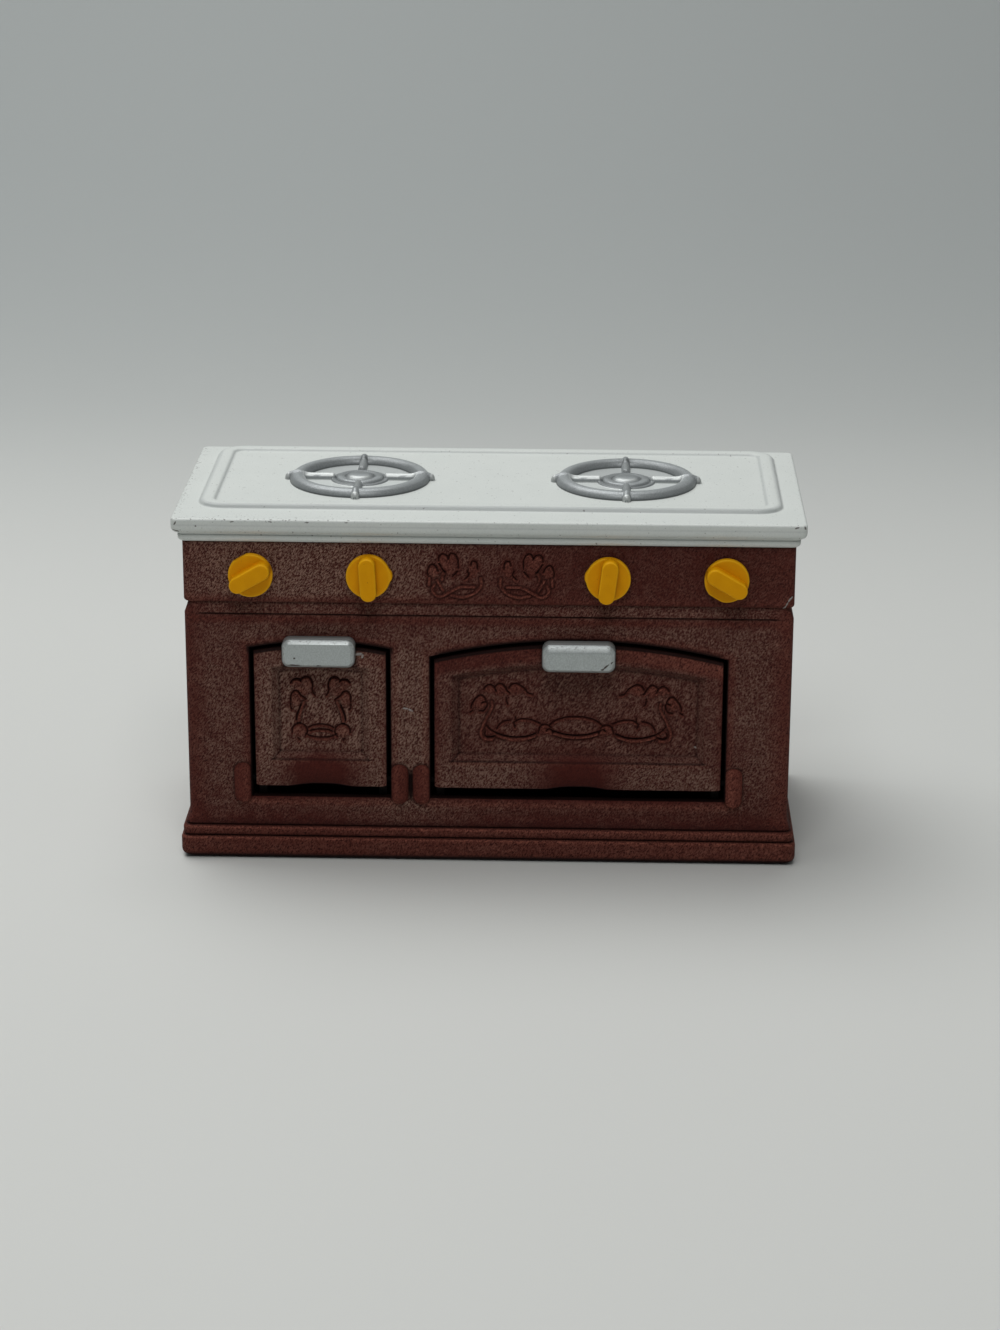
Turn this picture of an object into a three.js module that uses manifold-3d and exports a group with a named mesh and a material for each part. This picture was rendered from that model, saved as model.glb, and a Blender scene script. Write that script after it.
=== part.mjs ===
// A toy kitchen range for a doll's house, at one twelfth of life size.
// Millimetres, +Z up, +X to the right, and the doors and knobs face -Y.
// The origin is on the floor, under the middle of the whole object.

import * as THREE from 'three';
import { mergeVertices } from 'three/addons/utils/BufferGeometryUtils.js';
import Module from 'manifold-3d';

const wasm = await Module();
wasm.setup();

// Cabinet, the lower brown moulding that the doors hang in
const BODY_WIDTH = 126;
const BODY_DEPTH = 54.4;
const CABINET_HEIGHT = 48.85;
const WALL = 2.2;
const DECK = 2;
const BODY_CORNER = 1.5;
const REAR_CORNER = 0.6;
const SHOULDER_HEIGHT = 2.45;
const SHOULDER_SET = 0.8;
const SKIRT_HEIGHT = 3;
const SKIRT_SPREAD = 0.9;
const POST = 6;

// Base, the stepped plinth with the floor plate in it
const BASE_LOWER = 5.1;
const BASE_UPPER = 2.3;
const BASE_SPREAD = 1.75;
const BASE_STEP = 0.4;
const BASE_ROUND = 1.4;
const SEAM_DEPTH = 0.35;
const SEAM_HALF = 0.25;
const BASE_WALL = 3.6;
const BASE_RECESS = 1.4;
const BASE_RIM = 2.8;
const BASE_PLATE = 2;

// Control panel, the brown frame between the cabinet and the worktop
const PANEL_HEIGHT = 13.25;
const PANEL_WALL = 2.4;
const PANEL_ROUND = 0.85;
const PANEL_CORNER = 1;

// Worktop, with the raised frame round the hob
const RIM_HEIGHT = 5.2;
const BAND_HEIGHT = 2.2;
const BAND_SPREAD = 0.8;
const EDGE_CHAMFER = 0.75;
const EDGE_ROUND = 0.45;
const OVERHANG_SIDE = 2.05;
const OVERHANG_FRONT = 2.1;
const OVERHANG_REAR = 2;
const WORKTOP_CORNER = 1.2;
const FRAME_MARGIN_SIDE = 4.55;
const FRAME_MARGIN_FRONT = 8.35;
const FRAME_MARGIN_REAR = 1.5;
const FRAME_OUTER_SLOPE = 1;
const FRAME_FLAT = 2.4;
const FRAME_INNER_SLOPE = 0.8;
const FRAME_HEIGHT = 0.8;
const FRAME_CORNER = 5.5;
const HOB_RAISE = 0.3;
const WORKTOP_PLATE = 2.1;
const WORKTOP_WALL = 1.6;
const BOSS_RADIUS = 2.6;
const BOSS_INSET = 3.15;
const BOSS_SET_IN = 12;

// Burners
const BURNER_SPACING = 56.6;
const BURNER_SET_BACK = 28.85;
const BURNER_RADIUS = 14.95;
const RING_WIDTH = 3.6;
const RING_HEIGHT = 1.8;
const HUB_RADIUS = 6.3;
const HUB_HEIGHT = 0.55;
const CAP_RADIUS = 4.6;
const CAP_HEIGHT = 1.05;
const BUTTON_RADIUS = 3.3;
const BUTTON_HEIGHT = 1.5;
const ARM_WIDTH = 1.9;
const ARM_START = 5.2;
const ARM_HEIGHT = 1.5;
const ARM_CREST = 2.1;
const NUB_REACH = 1.05;
const SEAT_DEPTH = 0.8;
const PEG_RADIUS = 1.6;
const WASHER_RADIUS = 3.6;
const WASHER_THICKNESS = 0.8;

// Door openings and doors
const OUTER_STILE = 13.4;
const MID_STILE = 8.35;
const LEFT_OPENING = 29.2;
const SILL = 6.1;
const LEFT_HEADER = 8.35;
const LEFT_RISE = 1.5;
const RIGHT_HEADER = 7.55;
const RIGHT_RISE = 3.8;
const DOOR_GAP = 0.8;
const DOOR_FOOT_GAP = 2.4;
const DOOR_THICKNESS = 3.6;
const DOOR_STILE = 3.7;
const TOP_RAIL = 4.1;
const BOTTOM_RAIL = 6;
const RECESS_DEPTH = 1.3;
const RECESS_BEVEL = 1.5;
const SCOOP_WIDTH = 15;
const SCOOP_HEIGHT = 4.4;
const SCOOP_DEPTH = 0.6;

// Hinges
const PIN_RADIUS = 0.6;
const PIN_SET_BACK = 1.2;
const PIN_RISE = 1.5;
const PIN_IN_DOOR = 3;
const PIN_IN_STILE = 3;
const PIN_CLEARANCE = 0.12;
const PIN_END_PLAY = 0.25;
const LUG_WIDTH = 3.95;
const LUG_HEIGHT = 10.1;
const LUG_PROUD = 1.2;
const LUG_DROP = 1.25;

// Handles
const HANDLE_WIDTH = 15.1;
const HANDLE_HEIGHT = 5.4;
const HANDLE_REACH = 4.5;
const HANDLE_STAND_OFF = 0.4;
const HANDLE_ROUND = 0.9;
const HANDLE_CORNER = 1.6;
const LEFT_HANDLE_HOLD = 3.4;
const RIGHT_HANDLE_HOLD = 4.2;
const PAD_MARGIN = 1;
const HANDLE_PEG_RADIUS = 0.7;
const HANDLE_PEG_LENGTH = 1.8;
const HANDLE_PEG_SPACING = 8;

// Knobs
const KNOB_RADIUS = 4.6;
const KNOB_DISC = 1.4;
const KNOB_EDGE = 0.35;
const KNOB_GAP = 0.3;
const BAR_WIDTH = 3.5;
const BAR_HEIGHT = 2.7;
const BAR_CHAMFER = 0.5;
const GATE_WIDTH = 3;
const KNOB_INSET = 14.1;
const KNOB_SPACING = 24.25;
const KNOB_HEIGHT = 6.3;
const KNOBS = [
  { turn: 60, gate: -0.3 },
  { turn: 177, gate: 0.4 },
  { turn: 7, gate: 0.3 },
  { turn: -60, gate: -0.3 },
];
const SHAFT_RADIUS = 1.5;
const SHAFT_CLEARANCE = 0.2;
const SHAFT_TAIL = 1.2;
const NECK_RADIUS = 1.1;
const CLIP_RADIUS = 2.9;
const CLIP_THICKNESS = 0.7;

// Oven boxes, the liners behind the doors
const OVEN_WALL = 1.6;
const OVEN_FLOOR = 1.5;
const OVEN_SIDE_LAP = 0.3;
const OVEN_ROOF_LAP = 0.4;
const OVEN_REAR_GAP = 3;
const DOOR_REST_GAP = 0.3;
const DOOR_STOP_GAP = 0.1;

// Back panel and fasteners
const BACK_THICKNESS = 2;
const BACK_SET_IN = 0.3;
const SCREW_HEAD_RADIUS = 2;
const SCREW_HEAD = 1;
const SCREW_RADIUS = 0.9;
const SCREW_LENGTH = 6;
const SCREW_TIP = 0.9;
const SLOT_WIDTH = 0.5;
const SLOT_DEPTH = 0.4;

// Clearances between pieces that stay still, and the fineness of round shapes
const FIT = 0.2;
const SCREW_FIT = 0.3;
const CORNER_STEPS = 4;
const ARCH_STEPS = 12;
const SMALL_SIDES = 12;
const SHAFT_SIDES = 16;
const KNOB_SIDES = 32;
const BURNER_SIDES = 40;

// How far a cutter runs past the face that it cuts, and how far joined shapes reach into each other
const OVERCUT = 1;

// Heights above the floor
const BASE_TOP = BASE_LOWER + BASE_UPPER;
const CABINET_TOP = BASE_TOP + CABINET_HEIGHT;
const PANEL_TOP = CABINET_TOP + PANEL_HEIGHT;
const RIM_TOP = PANEL_TOP + RIM_HEIGHT;
const HOB_TOP = RIM_TOP + HOB_RAISE;
const PLATE_UNDER = HOB_TOP - WORKTOP_PLATE;
const BASE_FLOOR = BASE_RECESS + BASE_PLATE;
const DECK_UNDER = CABINET_TOP - DECK;
const SILL_TOP = BASE_TOP + SILL;
const DOOR_FOOT = SILL_TOP + DOOR_FOOT_GAP;
const PIN_HEIGHT = DOOR_FOOT + PIN_RISE;
const OVEN_FLOOR_TOP = PIN_HEIGHT - DOOR_REST_GAP;
const KNOB_CENTRE = CABINET_TOP + KNOB_HEIGHT;

// The hole for a screw, and the bore for a hinge pin
const SCREW_HOLE = SCREW_RADIUS + SCREW_FIT;
const PIN_BORE = PIN_RADIUS + PIN_CLEARANCE;

// Depths: the front of the body, and what stands furthest out in front of it
const HALF = BODY_WIDTH / 2;
const KNOB_REACH = KNOB_GAP + KNOB_DISC + BAR_HEIGHT;
const REACH = Math.max(KNOB_REACH, HANDLE_REACH, OVERHANG_FRONT, BASE_SPREAD);
const FRONT = REACH - (REACH + BODY_DEPTH + OVERHANG_REAR) / 2;
const BACK = FRONT + BODY_DEPTH;
const DOOR_INNER = FRONT + DOOR_THICKNESS;
const OVEN_FRONT = Math.max(DOOR_THICKNESS, WALL) + DOOR_REST_GAP + FRONT;
const BACK_FACE = BACK - BACK_SET_IN;
const OVEN_BACK = BACK_FACE - BACK_THICKNESS - OVEN_REAR_GAP;
const PIN_Y = FRONT + PIN_SET_BACK;

const COLOURS = {
  brown: [0x5a2c26, 0.55, 0.05],
  white: [0xd6dbd6, 0.35, 0.05],
  silver: [0x9aa0a0, 0.35, 0.6],
  yellow: [0xd99204, 0.4, 0],
  steel: [0xb4b6b8, 0.3, 0.9],
};

// A closed three.js geometry as a solid that can be joined and cut.
function solid(geometry) {
  const bare = geometry.clone();
  bare.deleteAttribute('normal');
  bare.deleteAttribute('uv');
  const merged = mergeVertices(bare, 1e-4);
  const index = merged.index.array;
  const corners = [];
  for (let i = 0; i < index.length; i += 3) {
    const [a, b, c] = [index[i], index[i + 1], index[i + 2]];
    if (a !== b && b !== c && c !== a) {
      corners.push(a, b, c);
    }
  }
  const mesh = new wasm.Mesh({
    numProp: 3,
    vertProperties: Float32Array.from(merged.attributes.position.array),
    triVerts: Uint32Array.from(corners),
  });
  return new wasm.Manifold(mesh);
}

// A closed skin over a row of rings with equal point counts. Each ring runs by the right hand
// about the direction in which the rings follow each other, and the two end rings are capped.
function loft(rings) {
  const count = rings[0].length;
  const corners = [];
  for (let level = 0; level + 1 < rings.length; level += 1) {
    for (let i = 0; i < count; i += 1) {
      const a = level * count + i;
      const b = level * count + ((i + 1) % count);
      corners.push(a, b, b + count, a, b + count, a + count);
    }
  }
  const last = (rings.length - 1) * count;
  for (let i = 1; i + 1 < count; i += 1) {
    corners.push(0, i + 1, i, last, last + i, last + i + 1);
  }
  const geometry = new THREE.BufferGeometry();
  geometry.setAttribute('position', new THREE.Float32BufferAttribute(rings.flat(2), 3));
  geometry.setIndex(corners);
  return solid(geometry);
}

// A box between two corners.
function block(x0, x1, y0, y1, z0, z1) {
  const geometry = new THREE.BoxGeometry(x1 - x0, y1 - y0, z1 - z0);
  geometry.translate((x0 + x1) / 2, (y0 + y1) / 2, (z0 + z1) / 2);
  return solid(geometry);
}

// A turned piece: a profile of [radius, height] pairs, from the axis back to the axis or closed
// on itself, spun about a line through the point at, which runs along the given axis.
function turned(profile, at, axis, sides) {
  const points = profile.map(([radius, height]) => new THREE.Vector2(radius, height));
  const geometry = new THREE.LatheGeometry(points, sides);
  const up = new THREE.Vector3(0, 1, 0);
  const turn = new THREE.Quaternion().setFromUnitVectors(up, new THREE.Vector3(...axis));
  geometry.applyQuaternion(turn);
  geometry.translate(...at);
  return solid(geometry);
}

// A plain round rod from the point at, along an axis.
function rod(radius, length, at, axis, sides) {
  return turned([[0, 0], [radius, 0], [radius, length], [0, length]], at, axis, sides);
}

// A round hole cutter whose flats, and not only its corners, clear the radius. It starts a
// little ahead of the point at, which lies on the face that it enters.
function bore(radius, depth, at, axis, sides = SMALL_SIDES) {
  const start = at.map((value, i) => value - axis[i] * OVERCUT);
  return rod(radius / Math.cos(Math.PI / sides), depth + OVERCUT, start, axis, sides);
}

// One level of a moulding: a rounded rectangle at height z, seen from above.
function level(z, { side, front, rear, corner, rearCorner = corner }) {
  const corners = [
    [side - rearCorner, rear - rearCorner, rearCorner, 0],
    [-side + rearCorner, rear - rearCorner, rearCorner, 1],
    [-side + corner, front + corner, corner, 2],
    [side - corner, front + corner, corner, 3],
  ];
  return corners.flatMap(([x, y, radius, quarter]) => Array.from(
    { length: CORNER_STEPS + 1 },
    (_, step) => {
      const angle = (quarter + step / CORNER_STEPS) * Math.PI / 2;
      return [x + radius * Math.cos(angle), y + radius * Math.sin(angle), z];
    },
  ));
}

// The body's plan, grown or shrunk all round by the same amount except at the flat back.
function bodyPlan(grow, corner = BODY_CORNER) {
  return {
    side: HALF + grow,
    front: FRONT - grow,
    rear: BACK,
    corner,
    rearCorner: REAR_CORNER,
  };
}

// The worktop's plan, drawn in from its outer edge by the same amount all round.
function worktopPlan(inset) {
  return {
    side: HALF + OVERHANG_SIDE - inset,
    front: FRONT - OVERHANG_FRONT + inset,
    rear: BACK + OVERHANG_REAR - inset,
    corner: WORKTOP_CORNER,
  };
}

// The plan of the raised frame on the worktop, drawn in from its outer foot.
function framePlan(inset) {
  return {
    side: HALF + OVERHANG_SIDE - FRAME_MARGIN_SIDE - inset,
    front: FRONT - OVERHANG_FRONT + FRAME_MARGIN_FRONT + inset,
    rear: BACK + OVERHANG_REAR - FRAME_MARGIN_REAR - inset,
    corner: FRAME_CORNER - inset,
  };
}

// The radius of an arch over a half width with a given rise.
const archRadius = (half, rise) => (half * half + rise * rise) / (2 * rise);

// The places of the openings and doors. An arch is a centre and a radius, shared by the
// opening, the door, its recess and the ends of its top rail.
function doorway(left, width, header, rise, handleHold) {
  const peak = CABINET_TOP - header;
  const radius = archRadius(width / 2, rise);
  return {
    left,
    right: left + width,
    middle: left + width / 2,
    centre: peak - radius,
    radius,
    peak: peak - DOOR_GAP,
    handleHold,
  };
}

const LEFT_DOORWAY = doorway(
  -HALF + OUTER_STILE,
  LEFT_OPENING,
  LEFT_HEADER,
  LEFT_RISE,
  LEFT_HANDLE_HOLD,
);
const RIGHT_DOORWAY = doorway(
  LEFT_DOORWAY.right + MID_STILE,
  BODY_WIDTH - 2 * OUTER_STILE - MID_STILE - LEFT_OPENING,
  RIGHT_HEADER,
  RIGHT_RISE,
  RIGHT_HANDLE_HOLD,
);
const DOORWAYS = [LEFT_DOORWAY, RIGHT_DOORWAY];

// The arch's height over the place x, when the arch is drawn in by an inset.
function archHeight(way, x, inset) {
  const radius = way.radius - inset;
  return way.centre + Math.sqrt(radius * radius - (x - way.middle) ** 2);
}

// An arched outline in the plane at depth y, anticlockwise as seen from the front.
function archOutline(way, y, side, foot, top) {
  const x0 = way.left + side;
  const x1 = way.right - side;
  const points = [[x0, y, foot], [x1, y, foot]];
  for (let step = 0; step <= ARCH_STEPS; step += 1) {
    const x = x1 + (x0 - x1) * step / ARCH_STEPS;
    points.push([x, y, archHeight(way, x, top)]);
  }
  return points;
}

// A plain arched slab from the depth back to the depth front.
function archSlab(way, back, front, side, foot, top) {
  return loft([
    archOutline(way, back, side, foot, top),
    archOutline(way, front, side, foot, top),
  ]);
}

// The middles of four things in the corners of a rectangle, front pair first.
const fourCorners = (x, front, rear) => [[-x, front], [x, front], [-x, rear], [x, rear]];

// The corner posts stand against the side walls, behind the front wall and ahead of the back
// panel.
const POST_X = HALF - WALL - POST / 2;
const POST_REAR = BACK_FACE - BACK_THICKNESS - FIT;
const POSTS = fourCorners(POST_X, FRONT + WALL + POST / 2, POST_REAR - POST / 2);

// The worktop's bosses stand inboard of the posts, where a screwdriver reaches their screws
// from below, between the post and the oven box.
const BOSS_X = POST_X - POST / 2 - BOSS_INSET;
const BOSSES = fourCorners(BOSS_X, FRONT + BOSS_SET_IN, BACK - BOSS_SET_IN);

// The screws of the back panel, as [x, z], two low and two high.
const BACK_SCREWS = fourCorners(POST_X, BASE_TOP + POST, DECK_UNDER - POST);

const KNOB_XS = [
  -HALF + KNOB_INSET,
  -HALF + KNOB_INSET + KNOB_SPACING,
  HALF - KNOB_INSET - KNOB_SPACING,
  HALF - KNOB_INSET,
];

// The hinge pins: the edge of the opening, and the direction from it into the stile.
const HINGES = DOORWAYS.flatMap((way) => [
  { edge: way.left, outward: -1 },
  { edge: way.right, outward: 1 },
]);

// A lug over a hinge pin: an upright capsule on the cabinet's face, with its edge drawn in.
function lug({ edge, outward }) {
  const radius = LUG_WIDTH / 2;
  const x = edge + outward * radius;
  const z = PIN_HEIGHT - LUG_DROP;
  const straight = LUG_HEIGHT / 2 - radius;
  const outline = (y, inset) => Array.from({ length: SHAFT_SIDES }, (_, step) => {
    const angle = (step + 0.5) / SHAFT_SIDES * 2 * Math.PI;
    const centre = z + Math.sign(Math.sin(angle)) * straight;
    return [
      x + (radius - inset) * Math.cos(angle),
      y,
      centre + (radius - inset) * Math.sin(angle),
    ];
  });
  return loft([
    outline(FRONT + WALL / 2, 0),
    outline(FRONT - LUG_PROUD * 0.45, 0),
    outline(FRONT - LUG_PROUD * 0.85, LUG_PROUD * 0.3),
    outline(FRONT - LUG_PROUD, LUG_PROUD * 0.75),
  ]);
}

// The cabinet: an open-backed, open-bottomed shell with two arched openings, hinge lugs and
// corner posts.
function makeCabinet() {
  const shell = loft([
    level(BASE_TOP, bodyPlan(SKIRT_SPREAD)),
    level(BASE_TOP + SKIRT_HEIGHT * 0.4, bodyPlan(SKIRT_SPREAD * 0.4)),
    level(BASE_TOP + SKIRT_HEIGHT, bodyPlan(0)),
    level(CABINET_TOP - SHOULDER_HEIGHT, bodyPlan(0)),
    level(CABINET_TOP, bodyPlan(-SHOULDER_SET, BODY_CORNER - SHOULDER_SET / 2)),
  ]);
  const inside = block(
    -HALF + WALL,
    HALF - WALL,
    FRONT + WALL,
    BACK + OVERCUT,
    BASE_TOP - OVERCUT,
    DECK_UNDER,
  );
  let cabinet = shell.subtract(inside);
  for (const way of DOORWAYS) {
    const front = FRONT - SKIRT_SPREAD - OVERCUT;
    cabinet = cabinet.subtract(archSlab(way, FRONT + WALL + OVERCUT, front, 0, SILL_TOP, 0));
  }
  for (const [x, y] of POSTS) {
    const post = block(
      x - POST / 2 - (x < 0 ? OVERCUT : 0),
      x + POST / 2 + (x > 0 ? OVERCUT : 0),
      y - POST / 2 - (y < 0 ? OVERCUT : 0),
      y + POST / 2,
      BASE_TOP,
      DECK_UNDER + OVERCUT,
    );
    const foot = block(
      x - POST / 2 + FIT,
      x + POST / 2 - FIT,
      y - POST / 2 + FIT,
      y + POST / 2 - FIT,
      BASE_FLOOR,
      BASE_TOP + OVERCUT,
    );
    const pilot = bore(SCREW_HOLE, SCREW_LENGTH, [x, y, BASE_FLOOR], [0, 0, 1]);
    cabinet = cabinet.add(post).add(foot).subtract(pilot);
  }
  for (const hinge of HINGES) {
    const hole = bore(
      PIN_BORE,
      PIN_IN_STILE + PIN_END_PLAY,
      [hinge.edge, PIN_Y, PIN_HEIGHT],
      [hinge.outward, 0, 0],
    );
    cabinet = cabinet.add(lug(hinge)).subtract(hole);
  }
  for (const [x, z] of BACK_SCREWS) {
    cabinet = cabinet.subtract(bore(SCREW_HOLE, SCREW_LENGTH, [x, POST_REAR, z], [0, -1, 0]));
  }
  for (const [x, y] of BOSSES) {
    cabinet = cabinet.subtract(bore(SCREW_HOLE, DECK + OVERCUT, [x, y, DECK_UNDER], [0, 0, 1]));
  }
  return cabinet;
}

// The base: two stepped bands round a floor plate, hollow above it and recessed beneath it.
function makeBase() {
  const upper = BASE_SPREAD - BASE_STEP;
  const outside = loft([
    level(0, bodyPlan(BASE_SPREAD - BASE_ROUND)),
    level(BASE_ROUND * 0.3, bodyPlan(BASE_SPREAD - BASE_ROUND * 0.3)),
    level(BASE_ROUND, bodyPlan(BASE_SPREAD)),
    level(BASE_LOWER - SEAM_HALF, bodyPlan(BASE_SPREAD)),
    level(BASE_LOWER, bodyPlan(upper - SEAM_DEPTH)),
    level(BASE_LOWER + SEAM_HALF, bodyPlan(upper)),
    level(BASE_TOP - SEAM_HALF, bodyPlan(upper)),
    level(BASE_TOP, bodyPlan(upper - SEAM_DEPTH)),
  ]);
  const well = block(
    -HALF + BASE_WALL - BASE_SPREAD,
    HALF - BASE_WALL + BASE_SPREAD,
    FRONT + BASE_WALL - BASE_SPREAD,
    BACK - BASE_WALL + BASE_SPREAD,
    BASE_FLOOR,
    BASE_TOP + OVERCUT,
  );
  const recess = block(
    -HALF + BASE_RIM,
    HALF - BASE_RIM,
    FRONT + BASE_RIM,
    BACK - BASE_RIM,
    -OVERCUT,
    BASE_RECESS,
  );
  let base = outside.subtract(well).subtract(recess);
  for (const [x, y] of POSTS) {
    base = base.subtract(bore(SCREW_HOLE, BASE_PLATE + OVERCUT, [x, y, BASE_RECESS], [0, 0, 1]));
  }
  return base;
}

// The control panel: a four-sided frame, open above and below, with the knobs' bores in front.
function makeControlPanel() {
  const outside = loft([
    level(CABINET_TOP, bodyPlan(-PANEL_ROUND, PANEL_CORNER)),
    level(CABINET_TOP + PANEL_ROUND * 0.3, bodyPlan(-PANEL_ROUND * 0.3, PANEL_CORNER)),
    level(CABINET_TOP + PANEL_ROUND, bodyPlan(0, PANEL_CORNER)),
    level(PANEL_TOP, bodyPlan(0, PANEL_CORNER)),
  ]);
  const inside = block(
    -HALF + PANEL_WALL,
    HALF - PANEL_WALL,
    FRONT + PANEL_WALL,
    BACK - PANEL_WALL,
    CABINET_TOP - OVERCUT,
    PANEL_TOP + OVERCUT,
  );
  let panel = outside.subtract(inside);
  for (const x of KNOB_XS) {
    const radius = SHAFT_RADIUS + SHAFT_CLEARANCE;
    const at = [x, FRONT, KNOB_CENTRE];
    panel = panel.subtract(bore(radius, PANEL_WALL + OVERCUT, at, [0, 1, 0], SHAFT_SIDES));
  }
  return panel;
}

// The worktop: a moulded edge, the raised frame, a seat for each burner and long screw bosses.
function makeWorktop() {
  const outer = FRAME_OUTER_SLOPE;
  const flat = outer + FRAME_FLAT;
  const inner = flat + FRAME_INNER_SLOPE;
  const foot = OVERHANG_SIDE;
  const outside = loft([
    level(PANEL_TOP, worktopPlan(foot)),
    level(PANEL_TOP + BAND_HEIGHT * 0.6, worktopPlan(foot - BAND_SPREAD * 0.4)),
    level(PANEL_TOP + BAND_HEIGHT, worktopPlan(foot - BAND_SPREAD)),
    level(PANEL_TOP + BAND_HEIGHT + EDGE_CHAMFER, worktopPlan(0)),
    level(RIM_TOP - EDGE_ROUND, worktopPlan(0)),
    level(RIM_TOP, worktopPlan(EDGE_ROUND)),
    level(RIM_TOP, framePlan(0)),
    level(RIM_TOP + FRAME_HEIGHT * 0.8, framePlan(outer * 0.65)),
    level(RIM_TOP + FRAME_HEIGHT, framePlan(outer)),
    level(RIM_TOP + FRAME_HEIGHT, framePlan(flat)),
    level(HOB_TOP, framePlan(inner)),
  ]);
  const hollow = block(
    -HALF + WORKTOP_WALL,
    HALF - WORKTOP_WALL,
    FRONT + WORKTOP_WALL,
    BACK - WORKTOP_WALL,
    PANEL_TOP - OVERCUT,
    PLATE_UNDER,
  );
  let worktop = outside.subtract(hollow);
  for (const [x, y] of BOSSES) {
    const length = PLATE_UNDER + OVERCUT - CABINET_TOP;
    const boss = rod(BOSS_RADIUS, length, [x, y, CABINET_TOP], [0, 0, 1], SHAFT_SIDES);
    const pilot = bore(SCREW_HOLE, SCREW_LENGTH, [x, y, CABINET_TOP], [0, 0, 1]);
    worktop = worktop.add(boss).subtract(pilot);
  }
  for (const side of [-1, 1]) {
    const middle = [side * BURNER_SPACING / 2, FRONT + BURNER_SET_BACK, HOB_TOP];
    const down = [0, 0, -1];
    const radius = BURNER_RADIUS - RING_WIDTH / 2 + FIT;
    const seat = bore(radius, SEAT_DEPTH, middle, down, BURNER_SIDES);
    const hole = bore(PEG_RADIUS + FIT, WORKTOP_PLATE + OVERCUT, middle, down, SHAFT_SIDES);
    worktop = worktop.subtract(seat).subtract(hole);
  }
  return worktop;
}

// A burner: a round-backed ring, a low stepped hub and four arms, all on one thin disc with a
// peg beneath. The arms start at the hub, rise over the ring and end in nubs outside it. Their
// flat crests over the ring are where a pan stands.
function makeBurner(x) {
  const y = FRONT + BURNER_SET_BACK;
  const inner = BURNER_RADIUS - RING_WIDTH;
  const middle = BURNER_RADIUS - RING_WIDTH / 2;
  const crest = [30, 60, 90, 120, 150].map((degrees) => {
    const angle = degrees * Math.PI / 180;
    return [middle + RING_WIDTH / 2 * Math.cos(angle), RING_HEIGHT * Math.sin(angle)];
  });
  const profile = [
    [0, -SEAT_DEPTH],
    [middle, -SEAT_DEPTH],
    [middle, 0],
    [BURNER_RADIUS, 0],
    ...crest,
    [inner, 0],
    [HUB_RADIUS, 0],
    [HUB_RADIUS - HUB_HEIGHT * 0.3, HUB_HEIGHT * 0.6],
    [HUB_RADIUS - HUB_HEIGHT, HUB_HEIGHT],
    [CAP_RADIUS, HUB_HEIGHT],
    [CAP_RADIUS * 0.95, CAP_HEIGHT],
    [BUTTON_RADIUS, CAP_HEIGHT],
    [BUTTON_RADIUS * 0.85, BUTTON_HEIGHT * 0.87],
    [BUTTON_RADIUS * 0.6, BUTTON_HEIGHT],
    [0, BUTTON_HEIGHT],
  ];
  let burner = turned(profile, [x, y, HOB_TOP], [0, 0, 1], BURNER_SIDES);
  const reach = BURNER_RADIUS + NUB_REACH;
  const half = ARM_WIDTH / 2;
  for (let quarter = 0; quarter < 4; quarter += 1) {
    const angle = quarter * Math.PI / 2;
    const [along, across] = [Math.cos(angle), Math.sin(angle)];
    const section = (distance, shrink, top) => [0, 25, 60, 120, 155, 180].map((degrees) => {
      const turn = degrees * Math.PI / 180;
      const offset = half * shrink * Math.cos(turn);
      const rise = (0.45 + 0.55 * Math.sin(turn)) / (0.45 + 0.55 * Math.sin(Math.PI / 3));
      const height = degrees % 180 === 0 ? 0 : top * rise;
      return [
        x + along * distance - across * offset,
        y + across * distance + along * offset,
        HOB_TOP + height,
      ];
    });
    const arm = loft([
      section(ARM_START, 0.6, ARM_HEIGHT * 0.55),
      section(ARM_START + half * 0.5, 0.9, ARM_HEIGHT),
      section(inner, 1, ARM_HEIGHT),
      section(middle - RING_WIDTH / 4, 1, ARM_CREST),
      section(middle + RING_WIDTH / 4, 1, ARM_CREST),
      section(BURNER_RADIUS, 1, ARM_HEIGHT),
      section(reach - half * 0.25, 0.8, ARM_HEIGHT * 0.8),
      section(reach, 0.45, ARM_HEIGHT * 0.45),
    ]);
    burner = burner.add(arm);
  }
  const pegLength = WORKTOP_PLATE - SEAT_DEPTH + WASHER_THICKNESS + 2 * FIT;
  const peg = rod(
    PEG_RADIUS,
    pegLength + SEAT_DEPTH,
    [x, y, HOB_TOP - SEAT_DEPTH - pegLength],
    [0, 0, 1],
    SHAFT_SIDES,
  );
  return burner.add(peg);
}

// The push-on washer that grips a burner's peg under the worktop.
function makeWasher(x) {
  const inner = (PEG_RADIUS + FIT) / Math.cos(Math.PI / SHAFT_SIDES);
  const profile = [
    [inner, 0],
    [WASHER_RADIUS, 0],
    [WASHER_RADIUS, WASHER_THICKNESS],
    [inner, WASHER_THICKNESS],
    [inner, 0],
  ];
  const at = [x, FRONT + BURNER_SET_BACK, PLATE_UNDER - WASHER_THICKNESS];
  return turned(profile, at, [0, 0, 1], SHAFT_SIDES);
}

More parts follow.
